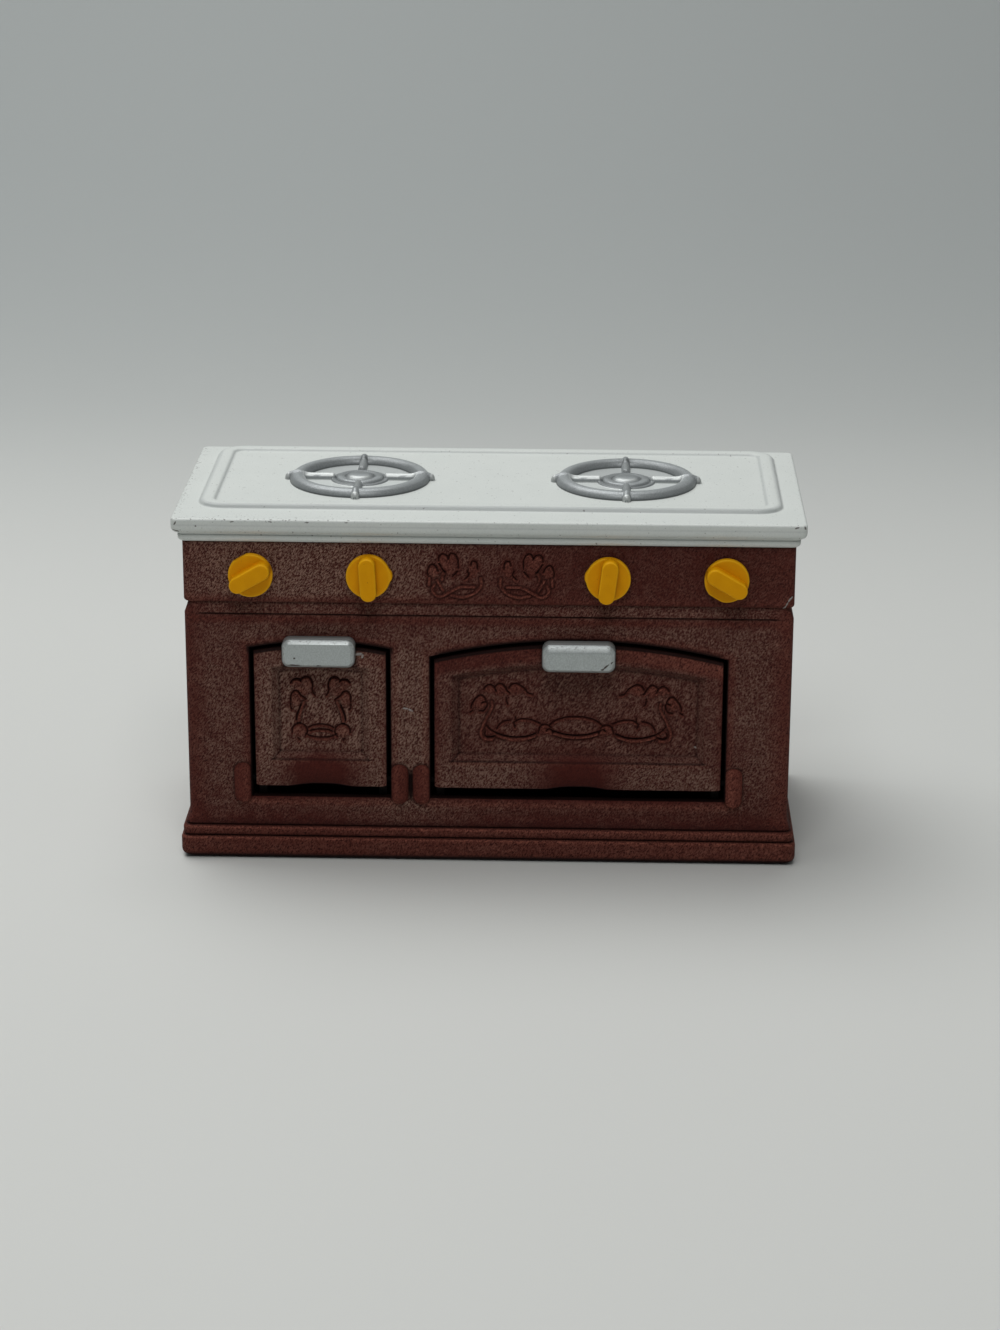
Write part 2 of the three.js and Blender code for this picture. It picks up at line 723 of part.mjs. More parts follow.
// A drop-down door: an arched slab with a bevelled recess, a thumb scoop low in the middle, a
// rounded heel round the hinge line and a bore for a pin at each end.
function makeDoor(way) {
  let door = archSlab(way, DOOR_INNER, FRONT, DOOR_GAP, DOOR_FOOT, DOOR_GAP);
  const side = DOOR_GAP + DOOR_STILE;
  const top = DOOR_GAP + TOP_RAIL;
  const foot = DOOR_FOOT + BOTTOM_RAIL;
  const spread = OVERCUT * RECESS_BEVEL / RECESS_DEPTH;
  const recess = loft([
    archOutline(
      way,
      FRONT + RECESS_DEPTH,
      side + RECESS_BEVEL,
      foot + RECESS_BEVEL,
      top + RECESS_BEVEL,
    ),
    archOutline(way, FRONT - OVERCUT, side - spread, foot - spread, top - spread),
  ]);
  door = door.subtract(recess);
  const scoop = new THREE.SphereGeometry(1, 2 * SHAFT_SIDES, SMALL_SIDES);
  const bulge = 4 * SCOOP_DEPTH;
  scoop.scale(SCOOP_WIDTH / 2, bulge, SCOOP_HEIGHT);
  scoop.translate(way.middle, FRONT + SCOOP_DEPTH - bulge, DOOR_FOOT - SCOOP_DEPTH);
  door = door.subtract(solid(scoop));
  const heel = [];
  for (let step = 0; step <= SMALL_SIDES / 2; step += 1) {
    const angle = -Math.PI / 2 + step / SMALL_SIDES * Math.PI;
    heel.push([PIN_SET_BACK + PIN_RISE * Math.cos(angle), PIN_RISE * Math.sin(angle)]);
  }
  const behind = Math.max(DOOR_THICKNESS - PIN_SET_BACK - PIN_RISE, 0) + OVERCUT;
  const waste = [
    ...heel,
    [PIN_SET_BACK + PIN_RISE + behind, behind],
    [PIN_SET_BACK + PIN_RISE + behind, -PIN_RISE - OVERCUT],
    [PIN_SET_BACK, -PIN_RISE - OVERCUT],
  ];
  const shape = new THREE.Shape(waste.map(([depth, height]) => new THREE.Vector2(depth, height)));
  const cutter = new THREE.ExtrudeGeometry(shape, {
    depth: way.right - way.left,
    bevelEnabled: false,
  });
  cutter.rotateX(Math.PI / 2);
  cutter.rotateZ(Math.PI / 2);
  cutter.translate(way.left, FRONT, PIN_HEIGHT);
  door = door.subtract(solid(cutter));
  for (const outward of [-1, 1]) {
    const edge = way.middle + outward * ((way.right - way.left) / 2 - DOOR_GAP);
    const depth = PIN_IN_DOOR + PIN_END_PLAY;
    door = door.subtract(bore(PIN_BORE, depth, [edge, PIN_Y, PIN_HEIGHT], [-outward, 0, 0]));
  }
  for (const offset of [-1, 1]) {
    const at = [way.middle + offset * HANDLE_PEG_SPACING / 2, FRONT, handlePegHeight(way)];
    door = door.subtract(bore(HANDLE_PEG_RADIUS + FIT, HANDLE_PEG_LENGTH + FIT, at, [0, 1, 0]));
  }
  return door;
}

// The pegs of a handle go into the door's top rail, in the middle of what lies on it.
const handlePegHeight = (way) => way.peak - way.handleHold / 2;

// A handle: a block with rounded corners and a softened face, which overhangs the door's top
// edge and stands clear of the cabinet on a pad with two pegs.
function makeHandle(way) {
  const bottom = way.peak - way.handleHold;
  const ring = (y, inset) => {
    const corner = HANDLE_CORNER - inset;
    const spans = [
      [HANDLE_WIDTH / 2 - HANDLE_CORNER, HANDLE_HEIGHT - HANDLE_CORNER, 0],
      [-HANDLE_WIDTH / 2 + HANDLE_CORNER, HANDLE_HEIGHT - HANDLE_CORNER, 1],
      [-HANDLE_WIDTH / 2 + HANDLE_CORNER, HANDLE_CORNER, 2],
      [HANDLE_WIDTH / 2 - HANDLE_CORNER, HANDLE_CORNER, 3],
    ];
    return spans.flatMap(([x, z, quarter]) => Array.from(
      { length: CORNER_STEPS + 1 },
      (_, step) => {
        const angle = (quarter + step / CORNER_STEPS) * Math.PI / 2;
        return [
          way.middle + x + corner * Math.cos(angle),
          y,
          bottom + z + corner * Math.sin(angle),
        ];
      },
    ));
  };
  const front = FRONT - HANDLE_REACH;
  let handle = loft([
    ring(FRONT - HANDLE_STAND_OFF, HANDLE_ROUND / 2),
    ring(FRONT - HANDLE_STAND_OFF - HANDLE_ROUND / 2, 0),
    ring(front + HANDLE_ROUND, 0),
    ring(front + HANDLE_ROUND * 0.3, HANDLE_ROUND * 0.3),
    ring(front, HANDLE_ROUND),
  ]);
  const pad = block(
    way.middle - HANDLE_WIDTH / 2 + 2 * PAD_MARGIN,
    way.middle + HANDLE_WIDTH / 2 - 2 * PAD_MARGIN,
    FRONT - HANDLE_STAND_OFF - OVERCUT,
    FRONT,
    bottom + PAD_MARGIN / 2,
    way.peak - PAD_MARGIN / 2,
  );
  handle = handle.add(pad);
  for (const offset of [-1, 1]) {
    const x = way.middle + offset * HANDLE_PEG_SPACING / 2;
    const at = [x, FRONT - OVERCUT, handlePegHeight(way)];
    const length = HANDLE_PEG_LENGTH + OVERCUT;
    handle = handle.add(rod(HANDLE_PEG_RADIUS, length, at, [0, 1, 0], SMALL_SIDES));
  }
  return handle;
}

// A steel hinge pin, half in the door's edge and half in the stile behind the lug.
function makePin({ edge, outward }) {
  const start = edge - outward * (DOOR_GAP + PIN_IN_DOOR);
  const length = PIN_IN_DOOR + DOOR_GAP + PIN_IN_STILE;
  return rod(PIN_RADIUS, length, [start, PIN_Y, PIN_HEIGHT], [outward, 0, 0], SMALL_SIDES);
}

// The depth at which a knob's retaining clip lies behind the panel.
const CLIP_Y = FRONT + PANEL_WALL + KNOB_GAP;

// A knob: a softened disc with a raised grip bar across it, the mark of its moulding gate at one
// side, and a shaft with a neck for its clip. The turn is in degrees, clockwise from upright, and
// the gate is how far its mark stands out of the rim or, if negative, is cut into it.
function makeKnob(x, { turn, gate }) {
  const back = FRONT - KNOB_GAP;
  const neckStart = CLIP_Y - FIT - back;
  const neckEnd = CLIP_Y + CLIP_THICKNESS + FIT - back;
  const disc = turned([
    [0, -KNOB_DISC],
    [KNOB_RADIUS - KNOB_EDGE, -KNOB_DISC],
    [KNOB_RADIUS, -KNOB_DISC + KNOB_EDGE],
    [KNOB_RADIUS, 0],
    [0, 0],
  ], [0, 0, 0], [0, 1, 0], KNOB_SIDES);
  const shaft = turned([
    [0, -KNOB_DISC / 2],
    [SHAFT_RADIUS, -KNOB_DISC / 2],
    [SHAFT_RADIUS, neckStart],
    [NECK_RADIUS, neckStart],
    [NECK_RADIUS, neckEnd],
    [SHAFT_RADIUS, neckEnd],
    [SHAFT_RADIUS, neckEnd + SHAFT_TAIL],
    [0, neckEnd + SHAFT_TAIL],
  ], [0, 0, 0], [0, 1, 0], SHAFT_SIDES);
  const bar = (y, inset) => Array.from({ length: 2 * SMALL_SIDES }, (_, step) => {
    const angle = (step + 0.5) / SMALL_SIDES * Math.PI;
    const straight = KNOB_RADIUS - BAR_WIDTH / 2;
    const radius = BAR_WIDTH / 2 - inset;
    return [
      radius * Math.cos(angle),
      y,
      Math.sign(Math.sin(angle)) * straight + radius * Math.sin(angle),
    ];
  });
  const grip = loft([
    bar(-KNOB_DISC / 2, 0),
    bar(-KNOB_DISC - BAR_HEIGHT * 0.5, BAR_CHAMFER * 0.15),
    bar(-KNOB_DISC - BAR_HEIGHT * 0.85, BAR_CHAMFER * 0.5),
    bar(-KNOB_DISC - BAR_HEIGHT, BAR_CHAMFER),
  ]);
  const knob = disc.add(shaft).add(grip);
  const rim = -KNOB_RADIUS - gate;
  const half = GATE_WIDTH / 2;
  const marked = gate > 0
    ? knob.add(block(rim, rim + OVERCUT, KNOB_EDGE - KNOB_DISC, -KNOB_EDGE, -half, half))
    : knob.subtract(block(rim - OVERCUT, rim, -KNOB_DISC - OVERCUT, OVERCUT, -half, half));
  return marked.rotate([0, turn, 0]).translate([x, back, KNOB_CENTRE]);
}

// The push-on clip round a knob's neck.
function makeClip(x) {
  const inner = (NECK_RADIUS + FIT / 2) / Math.cos(Math.PI / SHAFT_SIDES);
  const profile = [
    [inner, 0],
    [CLIP_RADIUS, 0],
    [CLIP_RADIUS, CLIP_THICKNESS],
    [inner, CLIP_THICKNESS],
    [inner, 0],
  ];
  return turned(profile, [x, CLIP_Y, KNOB_CENTRE], [0, 1, 0], SHAFT_SIDES);
}

// An oven box: an open-fronted liner on two side walls that stand on the base's floor plate.
// Its front edges are the door's rest, and the lip of its floor stops the open door.
function makeOvenBox(way) {
  const x0 = way.left + DOOR_GAP + OVEN_SIDE_LAP;
  const x1 = way.right - DOOR_GAP - OVEN_SIDE_LAP;
  const roof = archHeight(way, way.left + DOOR_GAP, DOOR_GAP) - OVEN_ROOF_LAP;
  const outside = block(x0, x1, OVEN_FRONT, OVEN_BACK, BASE_FLOOR, roof);
  const cavity = block(
    x0 + OVEN_WALL,
    x1 - OVEN_WALL,
    OVEN_FRONT - OVERCUT,
    OVEN_BACK - OVEN_WALL,
    OVEN_FLOOR_TOP,
    roof - OVEN_WALL,
  );
  const under = block(
    x0 + OVEN_WALL,
    x1 - OVEN_WALL,
    OVEN_FRONT - OVERCUT,
    OVEN_BACK + OVERCUT,
    BASE_FLOOR - OVERCUT,
    OVEN_FLOOR_TOP - OVEN_FLOOR,
  );
  const stop = PIN_Y + PIN_RISE + DOOR_STOP_GAP;
  const lip = block(
    x0 + OVEN_WALL,
    x1 - OVEN_WALL,
    stop,
    OVEN_FRONT + OVERCUT,
    OVEN_FLOOR_TOP - OVEN_FLOOR,
    OVEN_FLOOR_TOP,
  );
  return outside.subtract(cavity).subtract(under).add(lip);
}

// The back panel, let into the cabinet's open back.
function makeBackPanel() {
  let panel = block(
    -HALF + WALL + FIT,
    HALF - WALL - FIT,
    BACK_FACE - BACK_THICKNESS,
    BACK_FACE,
    BASE_TOP + FIT,
    DECK_UNDER - FIT,
  );
  for (const [x, z] of BACK_SCREWS) {
    const at = [x, BACK_FACE, z];
    panel = panel.subtract(bore(SCREW_HOLE, BACK_THICKNESS + OVERCUT, at, [0, -1, 0]));
  }
  return panel;
}

// A small slotted screw. Its head's underside is at the point seat, and axis leads its shank.
function makeScrew(seat, axis) {
  const profile = [
    [0, -SCREW_HEAD],
    [SCREW_HEAD_RADIUS * 0.7, -SCREW_HEAD],
    [SCREW_HEAD_RADIUS, -SCREW_HEAD * 0.5],
    [SCREW_HEAD_RADIUS, 0],
    [SCREW_RADIUS, 0],
    [SCREW_RADIUS, SCREW_LENGTH - SCREW_TIP],
    [0, SCREW_LENGTH],
  ];
  const body = turned(profile, seat, axis, SMALL_SIDES);
  const [x, y, z] = seat.map((value, i) => value - axis[i] * SCREW_HEAD);
  const across = SLOT_WIDTH / 2;
  const long = SCREW_HEAD_RADIUS + OVERCUT;
  const deep = SLOT_DEPTH;
  const slot = axis[2] === 0
    ? block(x - long, x + long, y - deep, y + deep, z - across, z + across)
    : block(x - long, x + long, y - across, y + across, z - deep, z + deep);
  return body.subtract(slot);
}

const stove = new THREE.Group();

// Adds a solid to the stove as a named mesh with its own material.
function place(name, piece, colour) {
  const mesh = piece.getMesh();
  const geometry = new THREE.BufferGeometry();
  geometry.setAttribute('position', new THREE.BufferAttribute(mesh.vertProperties, 3));
  geometry.setIndex(new THREE.BufferAttribute(mesh.triVerts, 1));
  geometry.computeVertexNormals();
  const [color, roughness, metalness] = COLOURS[colour];
  const material = new THREE.MeshStandardMaterial({ color, roughness, metalness });
  const node = new THREE.Mesh(geometry, material);
  node.name = name;
  stove.add(node);
}

place('cabinet', makeCabinet(), 'brown');
place('base_plinth', makeBase(), 'brown');
place('control_panel', makeControlPanel(), 'brown');
place('back_panel', makeBackPanel(), 'brown');
place('worktop', makeWorktop(), 'white');
['left', 'right'].forEach((side, i) => {
  const way = DOORWAYS[i];
  const x = (i - 0.5) * BURNER_SPACING;
  place(`oven_box_${side}`, makeOvenBox(way), 'brown');
  place(`door_${side}`, makeDoor(way), 'brown');
  place(`handle_${side}`, makeHandle(way), 'silver');
  place(`burner_${side}`, makeBurner(x), 'silver');
  place(`burner_washer_${side}`, makeWasher(x), 'steel');
});
HINGES.forEach((hinge, i) => place(`hinge_pin_${i + 1}`, makePin(hinge), 'steel'));
KNOB_XS.forEach((x, i) => {
  place(`knob_${i + 1}`, makeKnob(x, KNOBS[i]), 'yellow');
  place(`knob_clip_${i + 1}`, makeClip(x), 'steel');
});
POSTS.forEach(([x, y], i) => {
  place(`base_screw_${i + 1}`, makeScrew([x, y, BASE_RECESS], [0, 0, 1]), 'steel');
});
BACK_SCREWS.forEach(([x, z], i) => {
  place(`back_screw_${i + 1}`, makeScrew([x, BACK_FACE, z], [0, -1, 0]), 'steel');
});
BOSSES.forEach(([x, y], i) => {
  place(`worktop_screw_${i + 1}`, makeScrew([x, y, DECK_UNDER], [0, 0, 1]), 'steel');
});

export default stove;
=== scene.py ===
# %% [markdown]
# # A doll's house kitchen stove
#
# The real thing is a toy about 13 cm wide: a brown plastic body with a pebbled, oversprayed
# skin, a glossy white worktop, two silver burners, four yellow knobs and two drop-down oven
# doors. A CAD model already says where every part is and how it moves. This lesson dresses that
# model: each visible part is worked out again as a finer surface, with the small roundings,
# carved lines and paint that the eye expects, and gets a material made from nodes.
#
# The first cell loads the CAD model as a fixed frame. Everything after it is built around it.

import bmesh
import bpy
import numpy as np
from mathutils import Matrix, Vector


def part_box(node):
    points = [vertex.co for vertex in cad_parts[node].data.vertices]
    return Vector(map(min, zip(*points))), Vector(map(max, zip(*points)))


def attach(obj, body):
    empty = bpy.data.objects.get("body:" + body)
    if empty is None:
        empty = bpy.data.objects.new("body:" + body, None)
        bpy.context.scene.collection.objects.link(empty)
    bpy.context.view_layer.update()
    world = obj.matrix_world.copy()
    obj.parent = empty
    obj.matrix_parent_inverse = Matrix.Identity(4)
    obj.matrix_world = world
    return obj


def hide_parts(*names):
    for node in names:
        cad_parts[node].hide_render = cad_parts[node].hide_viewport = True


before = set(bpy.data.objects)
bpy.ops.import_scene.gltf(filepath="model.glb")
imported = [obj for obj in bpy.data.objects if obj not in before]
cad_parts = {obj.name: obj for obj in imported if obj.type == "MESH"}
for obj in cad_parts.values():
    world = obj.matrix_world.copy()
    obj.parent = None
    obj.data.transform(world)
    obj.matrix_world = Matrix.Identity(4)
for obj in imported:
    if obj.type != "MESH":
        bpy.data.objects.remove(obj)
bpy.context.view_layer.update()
MM = 0.001


def add_object(name, data):
    """Puts a new object with this data into the scene."""
    made = bpy.data.objects.new(name, data)
    bpy.context.scene.collection.objects.link(made)
    return made


# %% [markdown]
# ## The camera
#
# The camera stands where the photographer stood, so that the picture and the model can be laid
# over each other. Its place was solved from the corners of the object: a little to the right of
# the middle, about 66 cm away, looking down by 18.6 degrees. A camera looks along its own -Z
# axis, so its matrix has the sideways, upward and backward directions as its columns.

# %% Place the camera
YAW, PITCH, ROLL = -0.0286, 0.325, 0.0035
AIM = np.array([2.466, -25.95, 43.38])
DISTANCE = 662.3
LENS, SENSOR, CLIP_END = 86.48, 36, 20


def camera_axes(yaw, pitch, roll):
    """Sideways, upward and forward unit vectors of a camera that turns by yaw about the
    vertical, tips down by pitch, and rolls about its own line of sight."""
    forward = np.array([np.sin(yaw) * np.cos(pitch), np.cos(yaw) * np.cos(pitch), -np.sin(pitch)])
    level = np.array([np.cos(yaw), -np.sin(yaw), 0])
    upright = np.cross(level, forward)
    sideways = level * np.cos(roll) + upright * np.sin(roll)
    upward = upright * np.cos(roll) - level * np.sin(roll)
    return sideways, upward, forward


sideways, upward, forward = camera_axes(YAW, PITCH, ROLL)
lens = bpy.data.cameras.new("camera")
lens.lens, lens.sensor_width, lens.clip_end = LENS, SENSOR, CLIP_END
camera = add_object("camera", lens)
matrix = np.eye(4)
matrix[:3, 0], matrix[:3, 1], matrix[:3, 2] = sideways, upward, -forward
matrix[:3, 3] = (AIM - forward * DISTANCE) * MM
camera.matrix_world = Matrix(matrix.tolist())
bpy.context.scene.camera = camera
bpy.context.scene.view_settings.view_transform = "Standard"
print("camera at", np.round(matrix[:3, 3], 3))

# %% [markdown]
# ## Sizes taken from the frame
#
# A finer part has to lie exactly where the CAD part lies, so the sizes come from the frame's
# own boxes. Shapes are worked out in millimetres, because the parts are that small, and become
# metres only when they enter a mesh.


# %% Read the main sizes
def span(node):
    """The lowest and the highest corner of a CAD node, in millimetres."""
    low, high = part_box(node)
    return np.array(low) / MM, np.array(high) / MM


def centre(node):
    """The middle of a CAD node's box, in millimetres."""
    low, high = span(node)
    return (low + high) / 2


panel_low, panel_high = span("control_panel")
HALF, FRONT, BACK = panel_high[0], panel_low[1], panel_high[1]
BASE_TOP, CABINET_TOP, PANEL_TOP = span("base_plinth")[1][2], panel_low[2], panel_high[2]
print("body half width, front, back:", np.round([HALF, FRONT, BACK], 2))
print("heights of the seams:", np.round([BASE_TOP, CABINET_TOP, PANEL_TOP], 2))

# %% [markdown]
# ## Four small rules
#
# A few rules come back in every part. One holds a number between 0 and 1. One is a bell: it
# says how near a point is to something, from 1 on the spot to nothing a little further on, and
# so it draws soft lines. One lists the angles of a quarter circle, which every rounding needs.
# The last one turns places across and up into points at a given depth.


# %% Rules for all parts
def clamp(value):
    """The value, held between 0 and 1."""
    return np.clip(value, 0, 1)


def bell(gap, width):
    """1 where the gap is 0, falling to nothing within two widths: exp(-(gap / width)^2)."""
    return np.exp(-(gap / width) ** 2)


def quarter(count):
    """Angles from 0 to 90 degrees in even steps, in radians."""
    return np.radians(np.linspace(0, 90, count))


def upright(x, y, z):
    """Points [..., xyz] from places across and up, and a depth that they may share."""
    return np.stack([x, np.broadcast_to(y, np.shape(x)), z], -1)


print("a bell at 0, 1 and 2 widths:", np.round(bell(np.arange(3), 1), 2))

# %% [markdown]
# ## Shapes as grids
#
# Every new part is one or more grids of points. A grid has rows and columns, like a sheet of
# graph paper that is bent in space, and each cell of it becomes one four-sided face. A closed
# grid joins its last column to its first, like a paper tube. A row whose points all meet in one
# place closes the tube's end, because points that coincide are merged afterwards.
#
# Merging also repairs the seams where two grids of one part share an edge. Then the normals are
# recalculated, so that all faces look outwards, and edges sharper than an angle stay crisp
# while the rest is shaded smooth.


# %% A gatherer for grids
class Shape:
    """Gathers grids of points, in millimetres, that together make one part."""

    def __init__(self):
        self.points, self.quads, self.size = [], [], 0

    def grid(self, surface, closed=False, keep=None):
        """Adds points [row, column, xyz]. closed joins the last column to the first, and keep
        says which cells [row, column] get a face."""
        rows, columns = surface.shape[:2]
        number = self.size + np.arange(rows * columns).reshape(rows, columns)
        if closed:
            number = np.hstack([number, number[:, :1]])
        corners = [number[:-1, :-1], number[:-1, 1:], number[1:, 1:], number[1:, :-1]]
        cells = np.stack(corners, -1)
        self.points.append(surface.reshape(-1, 3))
        self.quads.append(cells.reshape(-1, 4) if keep is None else cells[keep])
        self.size += rows * columns
        return self


WELD = 2e-6


def mesh_of(name, shape, sharp):
    """A mesh from gathered grids: metres, doubles merged, normals outwards, and edges crisp
    where two faces meet at more than sharp degrees."""
    points, quads = np.concatenate(shape.points) * MM, np.concatenate(shape.quads)
    mesh = bpy.data.meshes.new(name)
    mesh.vertices.add(len(points))
    mesh.vertices.foreach_set("co", points.ravel())
    mesh.loops.add(quads.size)
    mesh.loops.foreach_set("vertex_index", quads.ravel().astype(np.int32))
    mesh.polygons.add(len(quads))
    mesh.polygons.foreach_set("loop_start", np.arange(0, quads.size, 4, dtype=np.int32))
    mesh.update(calc_edges=True)
    work = bmesh.new()
    work.from_mesh(mesh)
    bmesh.ops.remove_doubles(work, verts=work.verts, dist=WELD)
    bmesh.ops.dissolve_degenerate(work, edges=work.edges, dist=WELD / 4)
    bmesh.ops.recalc_face_normals(work, faces=work.faces)
    work.to_mesh(mesh)
    work.free()
    mesh.shade_smooth()
    mesh.set_sharp_from_angle(angle=np.radians(sharp))
    return mesh


def make_part(name, shape, body, material, node, marks, sharp=32):
    """Makes a part from gathered grids. It rides on a CAD body and stands for one CAD node. The
    function marks works out named numbers from the points' places, and the material reads them
    by name."""
    mesh = mesh_of(name, shape, sharp)
    part = add_object(name, mesh)
    place = np.empty(len(mesh.vertices) * 3, np.float32)
    mesh.vertices.foreach_get("co", place)
    x, y, z = place.reshape(-1, 3).T.astype(float) / MM
    for mark, numbers in marks(x, y, z).items():
        values = np.broadcast_to(clamp(numbers), x.shape).astype(np.float32)
        mesh.attributes.new(mark, "FLOAT", "POINT").data.foreach_set("value", values)
    mesh.materials.append(material)
    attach(part, body)
    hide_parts(node)
    print(f"{name}: {len(mesh.polygons)} faces")


print("grids can be gathered")

# %% [markdown]
# ## Shader arithmetic
#
# A material is a network of nodes. Written out node by node it is hard to read, so a small
# class wraps a node's output and lets Python's own + - * / build the Math nodes. Colours are
# mixed by Mix nodes, because a Math node would turn them grey.


# %% Sockets that can be added and multiplied
class Socket:
    """A node's output in a finish, with arithmetic that adds Math nodes."""

    def __init__(self, finish, output):
        self.finish, self.output = finish, output

    def math(self, operation, first, second):
        """Adds a Math node that works on the two values."""
        return self.finish.node("ShaderNodeMath", {"operation": operation}, {0: first, 1: second})

    def __add__(self, other):
        return self.math("ADD", self, other)

    def __radd__(self, other):
        return self.math("ADD", other, self)

    def __sub__(self, other):
        return self.math("SUBTRACT", self, other)

    def __rsub__(self, other):
        return self.math("SUBTRACT", other, self)

    def __mul__(self, other):
        return self.math("MULTIPLY", self, other)

    def __rmul__(self, other):
        return self.math("MULTIPLY", other, self)


class Finish:
    """A material around one Principled shader, and short ways to add nodes to it."""

    def __init__(self, name, **constants):
        self.material = bpy.data.materials.new(name)
        self.material.use_nodes = True
        self.tree = self.material.node_tree
        self.tree.nodes.clear()
        self.shader = self.tree.nodes.new("ShaderNodeBsdfPrincipled")
        output = self.tree.nodes.new("ShaderNodeOutputMaterial")
        self.tree.links.new(self.shader.outputs[0], output.inputs[0])
        self.paint(**constants)

    def feed(self, node, values):
        """Gives a node's inputs their values, or links them where the value is a Socket."""
        for key, value in values.items():
            if isinstance(value, Socket):
                self.tree.links.new(value.output, node.inputs[key])
            else:
                node.inputs[key].default_value = value

    def node(self, kind, settings, inputs, output=0):
        """Adds a node: first its settings, then the values or links of its inputs."""
        made = self.tree.nodes.new(kind)
        for key, value in settings.items():
            setattr(made, key, value)
        self.feed(made, inputs)
        return Socket(self, made.outputs[output])

    def paint(self, **values):
        """Sets or links inputs of the shader, such as Base_Color or Roughness."""
        self.feed(self.shader, {key.replace("_", " "): value for key, value in values.items()})
        return self.material

    def mix(self, share, first, second):
        """A colour between first and second, by a share from 0 to 1."""
        settings = {"data_type": "RGBA", "clamp_factor": True}
        return self.node("ShaderNodeMix", settings, {0: share, 6: first, 7: second}, 2)

    def ramp(self, value, low, high):
        """0 below low, 1 above high, and a soft step between them."""
        settings = {"interpolation_type": "SMOOTHSTEP"}
        return self.node("ShaderNodeMapRange", settings, {0: value, 1: low, 2: high})

    def place(self, turn=(0, 0, 0), stretch=(1, 1, 1)):
        """The point's place on the part, in metres, turned and then stretched."""
        spot = self.node("ShaderNodeTexCoord", {}, {}, 3)
        turned = self.node("ShaderNodeMapping", {}, {0: spot, 2: turn})
        return self.node("ShaderNodeMapping", {}, {0: turned, 3: stretch})

    def noise(self, size, spot, detail=2, roughness=0.5):
        """Cloudy noise about 0.5, with blobs of about size millimetres."""
        scale = 1 / (size * MM)
        return self.node("ShaderNodeTexNoise", {}, {
            "Vector": spot, "Scale": scale, "Detail": detail, "Roughness": roughness})

    def mark(self, name):
        """A number that the part carries at each point."""
        settings = {"attribute_type": "GEOMETRY", "attribute_name": name}
        return self.node("ShaderNodeAttribute", settings, {}, 2)

    def flecks(self, ellipses):
        """1 inside small slanted ellipses on the front, with ragged edges. Each is x, z, turn in
        degrees, half length and half width, and 1 - (u^2 + v^2) is above 0 inside it. Surfaces
        3 mm or more behind the front have none."""
        spot = self.place()
        x, y, z = [self.node("ShaderNodeSeparateXYZ", {}, {0: spot}, axis) * (1 / MM)
                   for axis in range(3)]
        ragged = (self.noise(0.35, spot, 2) - 0.5) * 2.6
        total = 0
        for middle_x, middle_z, turn, long, wide in ellipses:
            c, s = np.cos(np.radians(turn)), np.sin(np.radians(turn))
            u = ((x - middle_x) * c + (z - middle_z) * s) * (1 / long)
            v = ((z - middle_z) * c - (x - middle_x) * s) * (1 / wide)
            total = self.ramp(1 - (u * u + v * v) + ragged, 0, 0.4) + total
        return total * (1 - self.ramp(y, FRONT + 2.6, FRONT + 3))

    def bump(self, height, depth):
        """A normal that follows height, where 1 stands for depth millimetres."""
        return self.node("ShaderNodeBump", {}, {
            "Strength": 1, "Distance": depth * MM, "Height": height})


print("arithmetic ready")

# %% [markdown]
# ## Brown: a pebbled skin with a dusty overspray
#
# The body is reddish maroon plastic with a pebbled texture. A greyish tan has been sprayed over
# it from the front: it lies on the flat fields and misses the edges, the carved lines and the
# finger scoops, which stay maroon and smoother. Raised edges are rubbed to a lighter red, and
# the same lighter red is painted on as highlights along ridges and upper edges. A part says
# where all this lies with marks: "spray", "smooth", one for the rubbed edges together with the
# painted highlights, and "line" for painted shade, which darkens grooves, gaps, hollows and
# undersides. Noise at about a quarter of a millimetre, drawn out along a slant, gives the
# strokes of the texture, and the same noise drives the bump, so that the light spots are also
# the high ones. A few pale scrapes are set one by one, as small ragged ellipses.

# %% The brown finish
MAROON = (0.086, 0.0145, 0.0108, 1)
TAN = (0.305, 0.182, 0.139, 1)
# Rubbed red, which is also painted on as a highlight along ridges and upper edges.
RUBBED_AND_HIGHLIGHT_RED = (0.3, 0.1, 0.07, 1)
# The dark of the pebbles' pits, and of painted shade in grooves, gaps and undersides.
SHADE = (0.012, 0.004, 0.0035, 1)
STROKE_TURN, STROKE_STRETCH = (0, np.radians(-34), 0), (1, 1, 0.43)
PEBBLE_SIZE, GRAIN_SIZE = 0.25, 0.14
SCRAPE = (0.42, 0.39, 0.365, 1)
SCRAPES = [(62.05, 58.4, 53, 0.85, 0.2), (61.4, 57.3, 66, 0.55, 0.17),
           (60.9, 56.45, 56, 0.5, 0.2), (-17.2, 33.55, -5, 0.6, 0.19),
           (-16.15, 33.2, -27, 0.62, 0.2), (43.28, 25.4, -45, 0.32, 0.2),
           (-26.9, 45.35, 10, 0.8, 0.33), (-26.1, 44.9, 80, 0.5, 0.25)]


